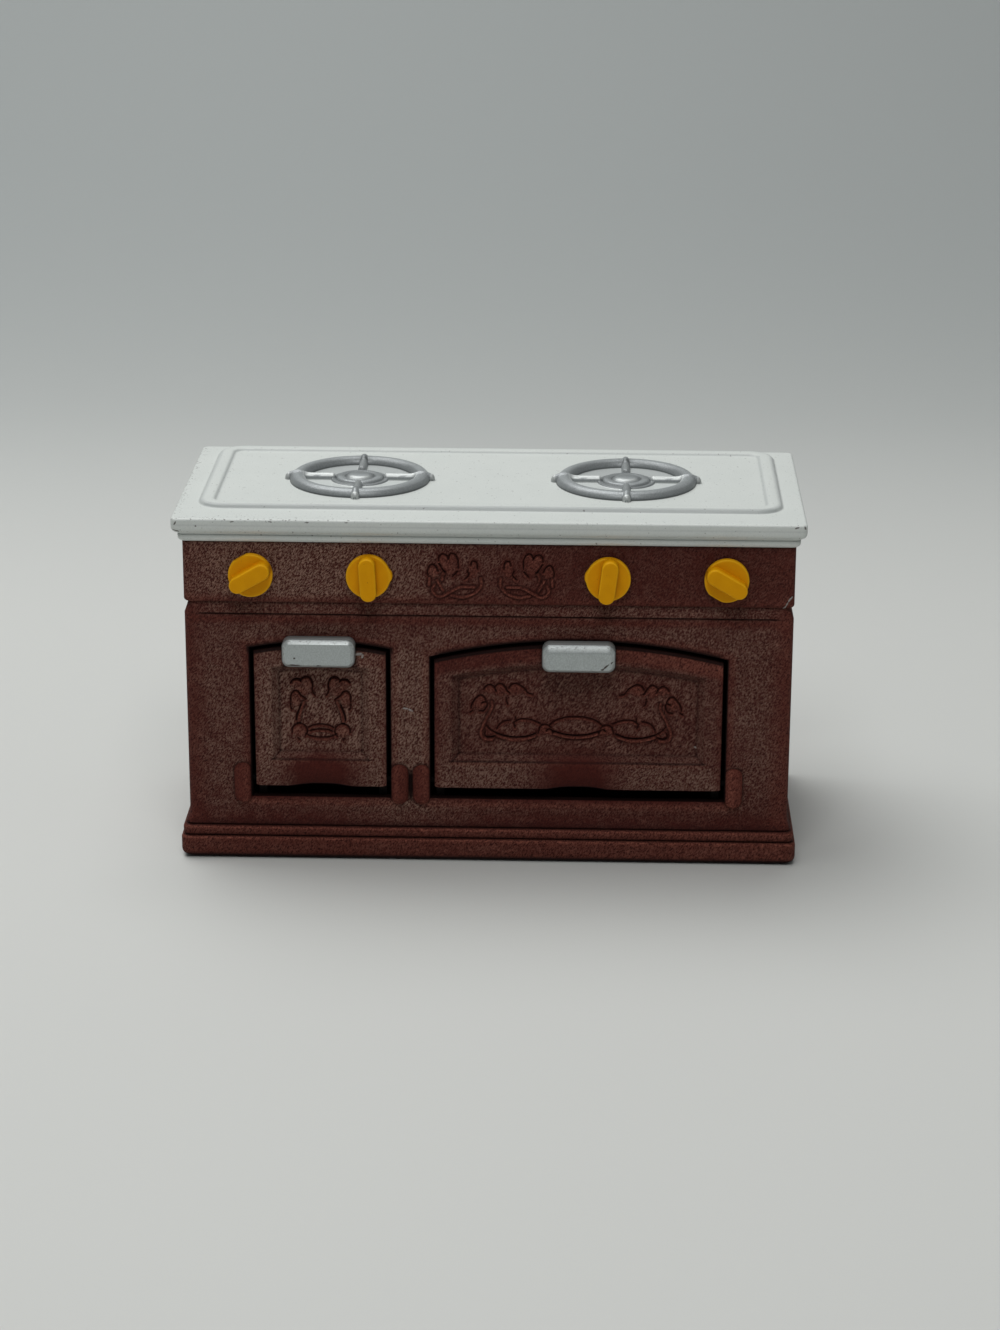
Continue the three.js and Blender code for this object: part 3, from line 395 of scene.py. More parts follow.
def brown_finish():
    """Maroon plastic with slanted pebbles, and where the part's marks allow it, tan dust,
    rubbed red with painted highlights, and painted shade.
    """
    brown = Finish("brown_pebbled", Specular_IOR_Level=0.1)
    slanted = brown.place(STROKE_TURN, STROKE_STRETCH)
    plain = brown.place()
    pebbles = brown.noise(PEBBLE_SIZE, slanted, 3, 0.6)
    grain = brown.noise(GRAIN_SIZE, plain)
    patches = brown.noise(1.7, plain)
    clouds = brown.noise(8, plain)
    spray, smooth = brown.mark("spray"), brown.mark("smooth")
    rub, line = brown.mark("rub"), brown.mark("line")
    raised = brown.ramp(pebbles * 0.6 + grain * 0.34 + patches * 0.06, 0.455, 0.56)
    reach = brown.ramp(spray + (clouds + patches - 1) * 0.28, 0.05, 1.1)
    dust = reach * (raised * 0.95 + 0.08)
    pits = (1 - brown.ramp(pebbles * 0.75 + grain * 0.25, 0.38, 0.49)) * (1 - smooth * 0.8)
    body = brown.mix(dust, MAROON, TAN)
    # Rubbed red on edges, and painted highlights on ridges and upper edges.
    rubbed = brown.mix(rub * (raised * 0.7 + 0.3), body, RUBBED_AND_HIGHLIGHT_RED)
    worn = brown.mix(pits * 0.72, rubbed, SHADE)
    # Painted shade: darker where the part marks grooves, gaps, hollows and undersides.
    with_painted_shade = brown.mix(line, worn, SHADE)
    height = raised * (1 - smooth * 0.8) + grain * 0.35
    return brown.paint(
        Base_Color=brown.mix(brown.flecks(SCRAPES) * 0.9, with_painted_shade, SCRAPE),
        Roughness=0.6 - smooth * 0.12 + raised * 0.08,
        Normal=brown.bump(height, 0.12),
    )


BROWN = brown_finish()
print("made", BROWN.name)

# %% [markdown]
# ## White, silver and yellow
#
# The worktop is glossy white paint over a darker casting: tiny dark specks lie in it, and where
# its edges have rubbed, the dark shows through in chips. Its marks are "edge", where the paint
# rubs off, and one for painted shade, a grey put on the raised frame's slopes, in creases and
# at joints.

# %% The white finish
WHITE_PAINT, DULL_WHITE = (0.65, 0.68, 0.652, 1), (0.56, 0.595, 0.57, 1)
# The grey of painted shade.
PAINTED_SHADE_WHITE = (0.36, 0.385, 0.38, 1)
CHIP = (0.06, 0.045, 0.04, 1)
WHITE_CHIPS = [(62.8, 74.2, 15, 0.55, 0.17), (64.5, 74.1, -60, 0.42, 0.2),
               (-64, 73.8, 60, 0.5, 0.2), (-63.8, 72.15, -15, 0.75, 0.13),
               (-59.8, 73.2, 0, 0.25, 0.15), (-52.3, 74.2, 5, 0.5, 0.12),
               (-44.5, 74.25, -8, 0.4, 0.13), (-37, 74.2, 0, 0.5, 0.12),
               (-29, 74.25, 0, 0.35, 0.1)]


def white_finish():
    """White paint with specks, faint clouds, a slight unevenness, chips on marked edges, and grey
    painted shade where the part marks it."""
    white = Finish("white_paint", Specular_IOR_Level=0.35)
    spot = white.place()
    clouds = white.noise(12, spot)
    waves = white.noise(2.6, spot)
    fine = white.noise(0.3, spot)
    specks = white.ramp(white.noise(0.55, spot, 1, 0.4), 0.73, 0.77)
    edge = white.mark("edge")
    worn = white.ramp(white.noise(0.5, spot, 3, 0.6) + edge * 0.14, 0.7, 0.75) * edge
    chips = worn + white.flecks(WHITE_CHIPS)
    uneven = white.ramp(clouds, 0.3, 0.7) * 0.25 + white.ramp(fine, 0.45, 0.7) * 0.5
    clean = white.mix(uneven, WHITE_PAINT, DULL_WHITE)
    # Painted shade: grey where the part marks it.
    tone = white.mix(white.mark("crease"), clean, PAINTED_SHADE_WHITE)
    marked = white.mix(specks * 0.6, tone, CHIP)
    return white.paint(
        Base_Color=white.mix(chips * 0.85, marked, CHIP),
        Roughness=0.3 + clouds * 0.14 + chips * 0.3,
        Normal=white.bump(waves * 0.75 + fine * 0.5 - chips * 0.6, 0.05),
    )


WHITE = white_finish()
print("made", WHITE.name)

# %% [markdown]
# The silver is a metallic paint, which is a metal only in part: fine flakes make it grainy, and
# the light slopes off it softly. One function makes it for the burners, and once more for the
# handles, which are brighter and have chips.

# %% The silver finish
SILVER_PAINT = (0.36, 0.385, 0.39, 1)
# Paler silver, for thinner paint and for painted highlights.
THIN_AND_HIGHLIGHT_SILVER = (0.62, 0.65, 0.635, 1)
# The dark of painted shade.
PAINTED_SHADE_SILVER = (0.09, 0.098, 0.1, 1)


def silver_finish(name, colour, metal, rough, chips=()):
    """Metallic paint: flakes at a fifth of a millimetre, soft waves, and dark worn spots. It
    is paler where the part marks thinner paint and painted highlights, lighter on marked edges
    as a painted highlight, and dark where the part marks painted shade."""
    silver = Finish(name, Specular_IOR_Level=0.5)
    spot = silver.place()
    flakes = silver.noise(0.22, spot, 2, 0.6)
    waves = silver.noise(1.2, spot)
    spots = silver.ramp(silver.noise(0.9, spot, 3, 0.6), 0.74, 0.78)
    edge = silver.mark("edge")
    rubbed = silver.ramp(silver.noise(0.45, spot, 3, 0.6) + edge * 0.12, 0.68, 0.75) * edge
    dark = tuple(value * 0.55 for value in colour[:3]) + (1,)
    grainy = silver.mix(silver.ramp(flakes, 0.35, 0.65) * 0.6, colour, dark)
    # Paler for thinner paint and painted highlights, and on marked edges as a painted highlight.
    thin_and_highlit = silver.mix(silver.mark("thin") + edge * 0.3, grainy, THIN_AND_HIGHLIGHT_SILVER)
    # Painted shade where the part marks it.
    tone = silver.mix(silver.mark("crease"), thin_and_highlit, PAINTED_SHADE_SILVER)
    bare = silver.flecks(chips) if chips else 0
    return silver.paint(
        Base_Color=silver.mix(spots * 0.5 + rubbed * 0.5 + bare, tone, CHIP),
        Metallic=metal - rubbed * metal,
        Roughness=rough + flakes * 0.12,
        Normal=silver.bump(flakes * 0.35 + waves * 0.65, 0.03),
    )


SILVER = silver_finish("silver_paint", SILVER_PAINT, 0.25, 0.33)
print("made", SILVER.name)

# %% [markdown]
# The knobs are dyed yellow plastic: satin, nearly even, and with hardly any texture.

# %% The yellow finish
YELLOW_DYE, DEEP_YELLOW = (0.78, 0.345, 0.002, 1), (0.7, 0.29, 0.0015, 1)
# Painted highlight and painted shade.
HIGHLIGHT_YELLOW, PAINTED_SHADE_YELLOW = (0.88, 0.47, 0.015, 1), (0.36, 0.12, 0.001, 1)
YELLOW_SPECK = (0.3, 0.08, 0.01, 1)


def yellow_finish():
    """Dyed plastic: an even yellow, darker by a breath in soft clouds, with rare specks. Its
    marks give a painted highlight on rims and edges and painted shade in inner corners."""
    yellow = Finish("yellow_plastic", Specular_IOR_Level=0.07)
    spot = yellow.place()
    clouds = yellow.noise(3, spot)
    grain = yellow.noise(0.3, spot)
    specks = yellow.ramp(yellow.noise(0.5, spot, 1, 0.4), 0.76, 0.8)
    tone = yellow.mix(yellow.ramp(clouds, 0.3, 0.7) * 0.5, YELLOW_DYE, DEEP_YELLOW)
    # Painted highlight on marked rims and edges.
    highlighted = yellow.mix(yellow.mark("pale") * 0.6, tone, HIGHLIGHT_YELLOW)
    # Painted shade in marked inner corners.
    shaded = yellow.mix(yellow.mark("crease") * 0.6, highlighted, PAINTED_SHADE_YELLOW)
    return yellow.paint(
        Base_Color=yellow.mix(specks * 0.6, shaded, YELLOW_SPECK),
        Roughness=0.36 + clouds * 0.12,
        Normal=yellow.bump(grain * 0.4 + clouds * 0.6, 0.03),
    )


YELLOW = yellow_finish()
print("made", YELLOW.name)

# %% [markdown]
# ## Mouldings: rounded rectangles stacked upwards
#
# The plinth, the body and the worktop are mouldings: seen from above, each level of them is a
# rectangle with rounded corners. Their surface is therefore a grid whose rows are levels and
# whose columns run round the rectangle. A profile of levels that goes in, up, out and over
# gives every step, groove and rounded edge.

# %% A surface through stacked rounded rectangles
BEND = quarter(9)
BODY_CORNER, REAR_CORNER = 1.5, 0.6
MIDDLE = (FRONT + BACK) / 2


def plan_columns(run, open_back):
    """For each column round a rounded rectangle: its place along the front from -1 to 1,
    whether it belongs to the front pair of corners, and the angle at which it leaves its
    corner's centre. The run gives the stops along the front, and an open back leaves out the
    rear edge."""
    run = np.asarray(run, float)
    ones = np.ones(len(BEND))
    face = (run, True, np.full(len(run), -np.pi / 2))
    front_right, rear_right = (ones[1:], True, BEND[1:] - np.pi / 2), (ones, False, BEND)
    rear_left, front_left = (-ones, False, BEND + np.pi / 2), (-ones[1:], True, BEND[:-1] + np.pi)
    parts = [face, front_right, rear_right, rear_left, front_left]
    if open_back:
        parts = parts[3:] + parts[:3]
    along = np.concatenate([part[0] for part in parts])
    at_front = np.concatenate([np.full(len(part[0]), part[1]) for part in parts])
    angle = np.concatenate([part[2] for part in parts])
    return along, at_front, angle


def moulding(levels, run=(-1, 1), open_back=False):
    """The surface of a moulding. Each level is height, half width, front, rear, front corner
    radius and rear corner radius. x = along * (half width - radius) + radius * cos(angle), and
    y = the corner's centre + radius * sin(angle)."""
    z, half, front, rear, corner, rear_corner = np.array(levels, float).T[:, :, None]
    along, at_front, angle = plan_columns(run, open_back)
    radius = np.where(at_front, corner, rear_corner)
    middle = np.where(at_front, front + corner, rear - rear_corner)
    x = along * (half - radius) + radius * np.cos(angle)
    y = middle + radius * np.sin(angle)
    return np.stack([x, y, np.broadcast_to(z, x.shape)], -1)


def arc(middle, radius, start, end, steps=6):
    """Points of an arc as [offset, height] pairs, from one angle to another in degrees."""
    turn = np.radians(np.linspace(start, end, steps))
    return [(middle[0] + radius * np.cos(t), middle[1] + radius * np.sin(t)) for t in turn]


def body_level(height, grow, corner=BODY_CORNER):
    """A level of the body, grown or shrunk all round except at the flat back."""
    return height, HALF + grow, FRONT - grow, BACK, corner, REAR_CORNER


def inner_level(height, inset):
    """A level of a square-cornered hollow in the body, set in all round."""
    return height, HALF - inset, FRONT + inset, BACK - inset, 0, 0


def closing_level(height):
    """A level that has shrunk to one point, which closes a moulding."""
    return height, 0, MIDDLE, MIDDLE, 0, 0


print("columns round a closed moulding:", len(plan_columns((-1, 1), False)[0]))

# %% [markdown]
# ## The plinth
#
# The plinth is two stepped bands under the body, with a groove between them and another where
# the body meets it. It could be a box with loop cuts, but as one profile of levels it is exact:
# from the middle of its underside out to the rim, round the lower edge, up the bands, and down
# again into the hollow that the body stands in.

# %% Make the plinth
BASE_LOWER, LOWER_OUT, UPPER_OUT = 5.1, 1.75, 1.35
BASE_ROUND, BASE_RECESS, BASE_RIM = 2.0, 1.4, 2.8
WELL_INSET, WELL_FLOOR = 1.85, 3.4


def plinth_levels():
    """The plinth's profile. Its bands are LOWER_OUT and UPPER_OUT wider than the body."""
    outline = arc((LOWER_OUT - BASE_ROUND, BASE_ROUND), BASE_ROUND, -90, 0, 9)
    outline += [(LOWER_OUT, z) for z in np.linspace(BASE_ROUND, BASE_LOWER - 0.55, 6)[1:-1]]
    outline += arc((LOWER_OUT - 0.4, BASE_LOWER - 0.55), 0.4, 0, 85)
    outline += [(UPPER_OUT - 0.5, BASE_LOWER - 0.05), (UPPER_OUT - 0.5, BASE_LOWER + 0.12)]
    outline += arc((UPPER_OUT - 0.35, BASE_LOWER + 0.52), 0.35, -80, 0)
    outline += [(UPPER_OUT, z) for z in np.linspace(BASE_LOWER + 0.7, BASE_TOP - 0.9, 4)]
    outline += arc((UPPER_OUT - 0.55, BASE_TOP - 0.7), 0.55, 0, 80)
    outline += [(UPPER_OUT - 1.0, BASE_TOP - 0.08), (UPPER_OUT - 1.05, BASE_TOP)]
    under = [closing_level(BASE_RECESS), inner_level(BASE_RECESS, BASE_RIM)]
    under += [inner_level(0, BASE_RIM)]
    over = [inner_level(BASE_TOP, WELL_INSET), inner_level(WELL_FLOOR, WELL_INSET)]
    over += [closing_level(WELL_FLOOR)]
    return under + [body_level(height, grow) for grow, height in outline] + over


def plinth_marks(x, y, z):
    """Thin dust on the bands' faces, rubbed towards the right, a lighter red painted on as a
    highlight along their upper edges, and painted shade in both grooves, softly above the
    lower one and under the lower rounding."""
    faces = bell(z - 2.9, 1.7) + bell(z - 6.3, 0.6)
    # Painted highlight along the bands' upper edges.
    edges = bell(z - BASE_LOWER + 0.3, 0.3) + bell(z - BASE_TOP + 0.45, 0.25)
    # Painted shade in both grooves, softly above the lower one, and under the lower rounding.
    grooves = bell(z - BASE_LOWER - 0.05, 0.2) + bell(z - BASE_TOP, 0.2)
    above = 0.5 * bell(z - BASE_LOWER - 0.15, 0.55) * (z > BASE_LOWER)
    under = 0.92 * clamp((1.4 - z) / 0.55)
    return {"spray": 0.08 + 0.24 * clamp(faces), "smooth": 0,
            "rub": 0.3 + 0.65 * edges + 0.3 * clamp((x - 40) / 20),
            "line": np.maximum(0.95 * grooves, above + under)}


plinth = Shape().grid(moulding(plinth_levels()), closed=True)
make_part("plinth", plinth, "stove", BROWN, "base_plinth", plinth_marks)

# %% [markdown]
# ## Openings and doors share their arches
#
# Each oven opening has a flat arch. The door inside it, the door's recess and the top rail's
# ends all follow the same circle, drawn in by different amounts. So one small class holds an
# opening and answers one question: how high is the arch above the place x, when it is drawn in
# by an inset?

# %% The two doorways
DOOR_GAP, DOOR_DEEP = 0.8, 3.6
SILL_TOP = BASE_TOP + 6.1


class Doorway:
    """An arched opening with its door. The arch is part of a circle that rises by a given
    amount over half the opening's width."""

    def __init__(self, side, rise):
        low, high = span("door_" + side)
        self.side = side
        self.left, self.right = low[0] - DOOR_GAP, high[0] + DOOR_GAP
        self.middle = (self.left + self.right) / 2
        half = (self.right - self.left) / 2
        self.radius = (half * half + rise * rise) / (2 * rise)
        self.centre = high[2] + DOOR_GAP - self.radius
        self.foot, self.peak = low[2], high[2]

    def arch(self, x, inset):
        """Height of the arch: centre + sqrt((radius - inset)^2 - (x - middle)^2)."""
        return self.centre + np.sqrt((self.radius - inset) ** 2 - (x - self.middle) ** 2)


WAYS = [Doorway("left", 1.5), Doorway("right", 3.8)]
for way in WAYS:
    print(way.side, "opening from", round(way.left, 2), "to", round(way.right, 2),
          "door foot", round(way.foot, 2), "peak", round(way.peak, 2))

# %% [markdown]
# ## The cabinet
#
# The cabinet is an open-backed shell. Its outside is one grid: columns run from the back edge
# along the left side, across the front and back along the right side, and rows climb from the
# flared foot to the sloping shoulder, where a V groove marks the seam, and over the deck. The
# rows between the sill and the arches bend with the arches, so that the openings are simply
# cells left out. A second grid of the same layout, one wall's thickness further in, is the
# inside, and strips join the two round every edge. The strips round the openings start with a
# quarter circle, which is the softened edge of the moulding.

# %% Rows and columns of the cabinet's front
WALL, DECK = 2.2, 2.0
CELLS, STILE_CELLS = (52, 110), (28, 20, 28)
LIP, LIP_HOLD = 0.35, 0.5
SEAM, SEAM_DEEP = CABINET_TOP - 2.45, 0.45


def cabinet_stops(half, edge):
    """Places of the front's columns from -half to half, with the openings' edges pushed out by
    edge. Also the numbers of the columns at both ends and at the openings' edges."""
    keys, counts = [-half], [STILE_CELLS[0]]
    for way, cells, after in zip(WAYS, CELLS, STILE_CELLS[1:]):
        keys += [way.left - edge, way.right + edge]
        counts += [cells, after]
    keys.append(half)
    parts = [np.linspace(a, b, n + 1)[:-1] for a, b, n in zip(keys, keys[1:], counts)]
    return np.concatenate(parts + [keys[-1:]]), np.cumsum([0] + counts)


def arch_line(x, edge):
    """Height of the openings' arches over x, and a straight blend between the openings."""
    ends = [np.array([way.left - edge, way.right + edge]) for way in WAYS]
    springs = [way.arch(pair, -edge) for way, pair in zip(WAYS, ends)]
    height = np.interp(x, np.concatenate(ends), np.concatenate(springs))
    for way, (left, right) in zip(WAYS, ends):
        inside = (x >= left) & (x <= right)
        height = np.where(inside, way.arch(np.where(inside, x, way.middle), -edge), height)
    return height


# Rows of the shell: below the sill, up to the arches, and above them. The last number of
# each row is how far the shell grows there.
SKIRT = [(BASE_TOP, 0.3), (BASE_TOP + 0.12, 0.62)]
SKIRT += [(BASE_TOP + 3 * t, 0.9 * (1 - t) ** 2) for t in np.linspace(0.12, 1, 6)]
ABOVE = [(SEAM - 0.9, 0), (SEAM - 0.45, 0), (SEAM - 0.22, 0), (SEAM - 0.1, 0), (SEAM, 0),
         (SEAM + 0.12, -0.02), (SEAM + 0.3, -0.1), (SEAM + 0.6, -0.2), (SEAM + 1.3, -0.44),
         (CABINET_TOP - 0.3, -0.7), (CABINET_TOP, -0.85)]
UNDER_SILL = [(z, 0) for z in np.linspace(BASE_TOP + 3, SILL_TOP - 1.1, 7)[1:]]
CLIMB, OVER = 64, 10
SILL_ROW = len(SKIRT + UNDER_SILL)
ARCH_ROW = SILL_ROW + CLIMB
print("rows of the shell:", ARCH_ROW + OVER + len(ABOVE) + 1)

# %% [markdown]
# Both skins come from one function. The outer one has the rounded corners, the flared foot and
# the seam's groove, and the inner one is plain. The cells inside the openings get no face.


# %% The cabinet's two skins
def shell_skin(edge, wall):
    """The cabinet's outer skin when wall is 0, or its inner skin, wall further in. The front's
    columns become shares of its half width, so that the corners keep their rounding. Also the
    numbers of the columns at the openings' edges."""
    corner, rear = (0, 0) if wall else (BODY_CORNER, REAR_CORNER)
    half = HALF - (wall or BODY_CORNER)
    columns, edges = cabinet_stops(half, edge)
    rows = SKIRT + UNDER_SILL + [(SILL_TOP - edge, 0)] * (CLIMB + OVER) + ABOVE
    if wall:
        rows = [(min(row[0], CABINET_TOP - DECK), 0) for row in rows]
    levels = [(z, HALF + grow - wall, FRONT - grow + wall, BACK, corner, rear) for z, grow in rows]
    levels.append((rows[-1][0], 0, BACK, BACK, 0, 0))
    skin = moulding(levels, columns / half, open_back=True)
    arch = arch_line(np.clip(skin[SILL_ROW, :, 0], -half, half), edge)
    rise = np.linspace(0, 1, CLIMB + 1)[:, None]
    skin[SILL_ROW:ARCH_ROW + 1, :, 2] = (SILL_TOP - edge) + rise * (arch - SILL_TOP + edge)
    over = np.linspace(0, 1, OVER + 1)[1:, None]
    skin[ARCH_ROW + 1:ARCH_ROW + OVER + 1, :, 2] = arch + over * (ABOVE[0][0] - arch)
    return skin, edges + len(BEND) * 2 - 1


def seam_share(x, z):
    """The seam's V groove: 1 at its height, and fading out before the corners."""
    fade = clamp((HALF - 2 - np.abs(x)) / 2)
    return fade * clamp(1 - np.abs(z - SEAM) / 0.26)


outer, edges = shell_skin(LIP_HOLD, 0)
inner = shell_skin(0, WALL)[0]
front_facing = np.abs(outer[..., 1] - FRONT) < 0.3
seam_depth = SEAM_DEEP * seam_share(outer[..., 0], outer[..., 2])
outer[..., 1] += np.where(front_facing, seam_depth, 0)
holes = np.zeros((outer.shape[0] - 1, outer.shape[1] - 1), bool)
for first, last in (edges[1:3], edges[3:5]):
    holes[SILL_ROW:ARCH_ROW, first:last] = True
cabinet = Shape()
cabinet.grid(outer, keep=~holes).grid(inner, keep=~holes)
for end in (0, -1):
    cabinet.grid(np.stack([outer[:, end], inner[:, end]]))
cabinet.grid(np.stack([outer[0], inner[0]]))
print("cabinet skins:", outer.shape[:2])

# %% [markdown]
# The strip round an opening starts on the face, a little outside the opening, runs flat to
# where the rounding begins, turns the corner on a quarter circle and goes straight back to the
# inner skin. All of it follows the same outline, drawn in step by step.


# %% The openings' lips
def opening_ring(way, edge, y, cells):
    """One turn round an opening at depth y, with its outline pushed out by edge: along the
    sill, up the right side, back over the arch and down the left side."""
    left, right, low = way.left - edge, way.right + edge, SILL_TOP - edge
    across = np.linspace(left, right, cells + 1)
    climb = np.linspace(0, 1, CLIMB + 1)

    def side(x):
        """Heights up one side of the opening."""
        return low + climb * (way.arch(x, -edge) - low)

    x = np.concatenate([across, np.full(CLIMB, right), across[-2::-1], np.full(CLIMB, left)])
    z = np.concatenate([np.full(cells + 1, low), side(right)[1:],
                        way.arch(across[-2::-1], -edge), side(left)[-2::-1]])
    return upright(x, y, z)


rings = [(LIP - LIP * np.sin(t), FRONT + LIP - LIP * np.cos(t)) for t in quarter(6)]
rings = [(LIP_HOLD, FRONT)] + rings + [(0, FRONT + WALL)]
for way, cells in zip(WAYS, CELLS):
    cabinet.grid(np.stack([opening_ring(way, edge, y, cells) for edge, y in rings]))
print("points of the cabinet so far:", cabinet.size)

# %% [markdown]
# A lug sits over each hinge pin: an upright capsule with a domed face, like a bean glued to the
# stile. Its rings are capsules that shrink towards the front by a superellipse, which has full
# shoulders and a nearly flat crown. Inside the cabinet stand four square posts for the screws.

# %% Lugs and posts
LUG_WIDE, LUG_HIGH, LUG_PROUD = 3.75, 8.9, 1.2
LUG_Z = WAYS[0].foot + 0.85
LUGS_X = [edge + outward * LUG_WIDE / 2
          for way in WAYS for edge, outward in ((way.left, -1), (way.right, 1))]
POST, POST_FOOT, POST_BACK, SUNK_IN = 6, 3.4, 2.5, 0.3


def capsule(radius, straight, count=40):
    """An upright capsule outline: a circle whose upper and lower halves are each moved away
    from its middle by straight."""
    turn = (np.arange(count) + 0.5) / count * 2 * np.pi
    return radius * np.cos(turn), np.sign(np.sin(turn)) * straight + radius * np.sin(turn)


def lug(x):
    """Rings of a lug whose middle line is at x, from behind the cabinet's face to its crown.
    The radius falls as (1 - s^2.6)^(1/2.2), where s is the share of the height."""
    share = np.array([-1.0, 0, 0.15, 0.3, 0.45, 0.6, 0.72, 0.82, 0.9, 0.95, 0.98, 1.0])
    radii = LUG_WIDE / 2 * (1 - clamp(share) ** 2.6) ** (1 / 2.2)
    rings = []
    for height, radius in zip(share, radii):
        across, up = capsule(radius, LUG_HIGH / 2 - LUG_WIDE / 2)
        rings.append(upright(x + across, FRONT - height * LUG_PROUD, LUG_Z + up))
    return np.stack(rings)


def column(x0, x1, y0, y1, z0, z1):
    """A square post as a closed tube of four corners, with both ends closed to a point."""
    corners = np.array([[x0, y0], [x1, y0], [x1, y1], [x0, y1]])
    middle = np.full((4, 2), [(x0 + x1) / 2, (y0 + y1) / 2])
    rows = [(middle, z0), (corners, z0), (corners, z1), (middle, z1)]
    return np.stack([np.hstack([flat, np.full((4, 1), z)]) for flat, z in rows])


for x in LUGS_X:
    cabinet.grid(lug(x), closed=True)
for side in (-1, 1):
    for y0 in (FRONT + WALL - SUNK_IN, BACK - POST_BACK - POST):
        x0, x1 = sorted((side * (HALF - WALL + SUNK_IN), side * (HALF - WALL - POST)))
        post = column(x0, x1, y0, y0 + POST, POST_FOOT, CABINET_TOP - DECK + SUNK_IN)
        cabinet.grid(post, closed=True)
print("lugs at x:", np.round(LUGS_X, 2))

# %% [markdown]
# The marks say where the cabinet is dusty, rubbed and darkened with painted shade. Most of
# them follow from two distances: how far a point is from the nearest opening, and from the
# nearest lug.


# %% The cabinet's marks
def near_openings(x, z):
    """Distance in the front plane from the nearest opening's outline, negative inside it."""
    gaps = []
    for way in WAYS:
        top = way.arch(np.clip(x, way.left, way.right), 0)
        gaps.append(np.maximum.reduce([way.left - x, x - way.right, SILL_TOP - z, z - top]))
    return np.minimum.reduce(gaps)


def near_lugs(x, z):
    """Distance in the front plane from the nearest lug's outline, negative inside it."""
    beyond = np.clip(np.abs(z - LUG_Z) - LUG_HIGH / 2 + LUG_WIDE / 2, 0, None)
    gaps = [np.hypot(x - middle, beyond) - LUG_WIDE / 2 for middle in LUGS_X]
    return np.minimum.reduce(gaps)


def cabinet_marks(x, y, z):
    """Dust on the flat fields and the sides: most on the middle stile, less at the openings, the
    corners, the sill and the foot, and hardly any on the lugs. Rubbed are the lugs, the edges,
    the stretch below the seam and the front's right edge. Painted shade lies in the seam, at
    the foot, round the lugs' upper parts, in the slit between the middle two, and round the
    openings, but not on the sill's lip."""
    front, proud = y < FRONT + 1, FRONT - y
    on_lug = clamp(proud / 0.3) * (z > BASE_TOP + 3.2)
    gap, lug_gap = near_openings(x, z), near_lugs(x, z)
    corner = clamp((HALF - np.abs(x)) / 5)
    foot = clamp((z - BASE_TOP - 0.5) / 4)
    middle = (WAYS[0].right + WAYS[1].left) / 2
    crowded = 0.6 + 0.52 * bell(x - middle, 10) * clamp((47 - z) / 3)
    dust = crowded * (0.45 + 0.55 * clamp(gap / 2)) * (0.35 + 0.65 * corner)
    dust *= 0.8 + 0.2 * clamp((z - SILL_TOP) / 4)
    sides = 0.32 * clamp((y - FRONT - 1.2) / 9)
    # The seam's groove: smoother, and darkened with painted shade.
    seam = seam_share(x, z) * front
    below_seam = bell(z - SEAM + 1.0, 0.8) * front
    above = z > WAYS[0].peak - 1.5
    reach = np.where(above, 0.6, np.where(z < SILL_TOP, -0.2, 0.3))
    # Painted shade round the openings' edges.
    rim = clamp((reach - gap) / 0.15) * front
    sill_lip = (z < SILL_TOP + 0.1) & (y < FRONT + 0.6)
    sill = front * (z < SILL_TOP) * bell(gap - 1.2, 0.9)
    high = clamp((z - SILL_TOP + 1) / 3)
    # Painted shade round the lugs' upper parts and in the slit between the middle two.
    lug_outline_shade = clamp(1 - np.abs(lug_gap) / 0.5) * clamp(1 - proud / 0.5) * front
    slit = bell(x - middle, 0.4) * clamp((z - LUG_Z + LUG_HIGH / 2) / 1.5)
    slit *= clamp((LUG_Z + LUG_HIGH / 2 - 1 - z) / 1.5) * front
    # Painted shade along the foot, where the body meets the plinth.
    foot_shade = np.maximum(0.9 * bell(z - BASE_TOP, 0.2), 0.5 * bell(z - BASE_TOP, 1.1))
    return {
        "spray": dust * (0.5 + 0.5 * foot) * (1 - 0.6 * below_seam) * (1 - 0.95 * on_lug) + sides,
        "smooth": 0.3 * on_lug + 0.4 * seam,
        "rub": (0.27 + 0.3 * (x > 40)) * on_lug + 0.25 * bell(gap - 1.1, 0.6) * front
        + 0.2 * front * clamp((x - 57) / 5) * (z < CABINET_TOP) + 0.25 * below_seam
        + 0.3 * sill + 0.2 * (1 - corner),
        "line": 0.95 * seam + foot_shade + 0.95 * rim + 0.7 * lug_outline_shade * high
        + 0.95 * slit + 0.95 * (gap < 0.1) * (y < 0) * ~sill_lip}


make_part("cabinet_shell", cabinet, "stove", BROWN, "cabinet", cabinet_marks)

# %% [markdown]
# ## Carved ornament
#
# The doors and the panel carry a traditional scroll and leaf ornament in low relief. It is made
# of three things: grooves that outline the leaves, with the leaf's edge standing up just below
# them, ribbons that are thin ridges, and lobes that swell like little cushions. Grooves and
# ribbons are smooth curves through a few given points. How far a point of the surface sinks
# or rises depends only on its distance from the nearest curve, by the bell. Everything is drawn
# for the left half and mirrored.


# %% Curves and their distance
def smooth_curve(points, steps=7):
    """A Catmull-Rom curve through the points: between two of them it is the cubic whose slopes
    at both ends are half the chord between their neighbours."""
    p = np.array(points, float)
    p = np.vstack([2 * p[0] - p[1], p, 2 * p[-1] - p[-2]])
    t = np.linspace(0, 1, steps, endpoint=False)[:, None, None]
    a, b, c, d = p[:-3], p[1:-2], p[2:-1], p[3:]
    curve = 0.5 * (2 * b + (c - a) * t + (2 * a - 5 * b + 4 * c - d) * t ** 2
                   + (3 * b - a - 3 * c + d) * t ** 3)
    return np.vstack([curve.transpose(1, 0, 2).reshape(-1, 2), p[-2:-1]])


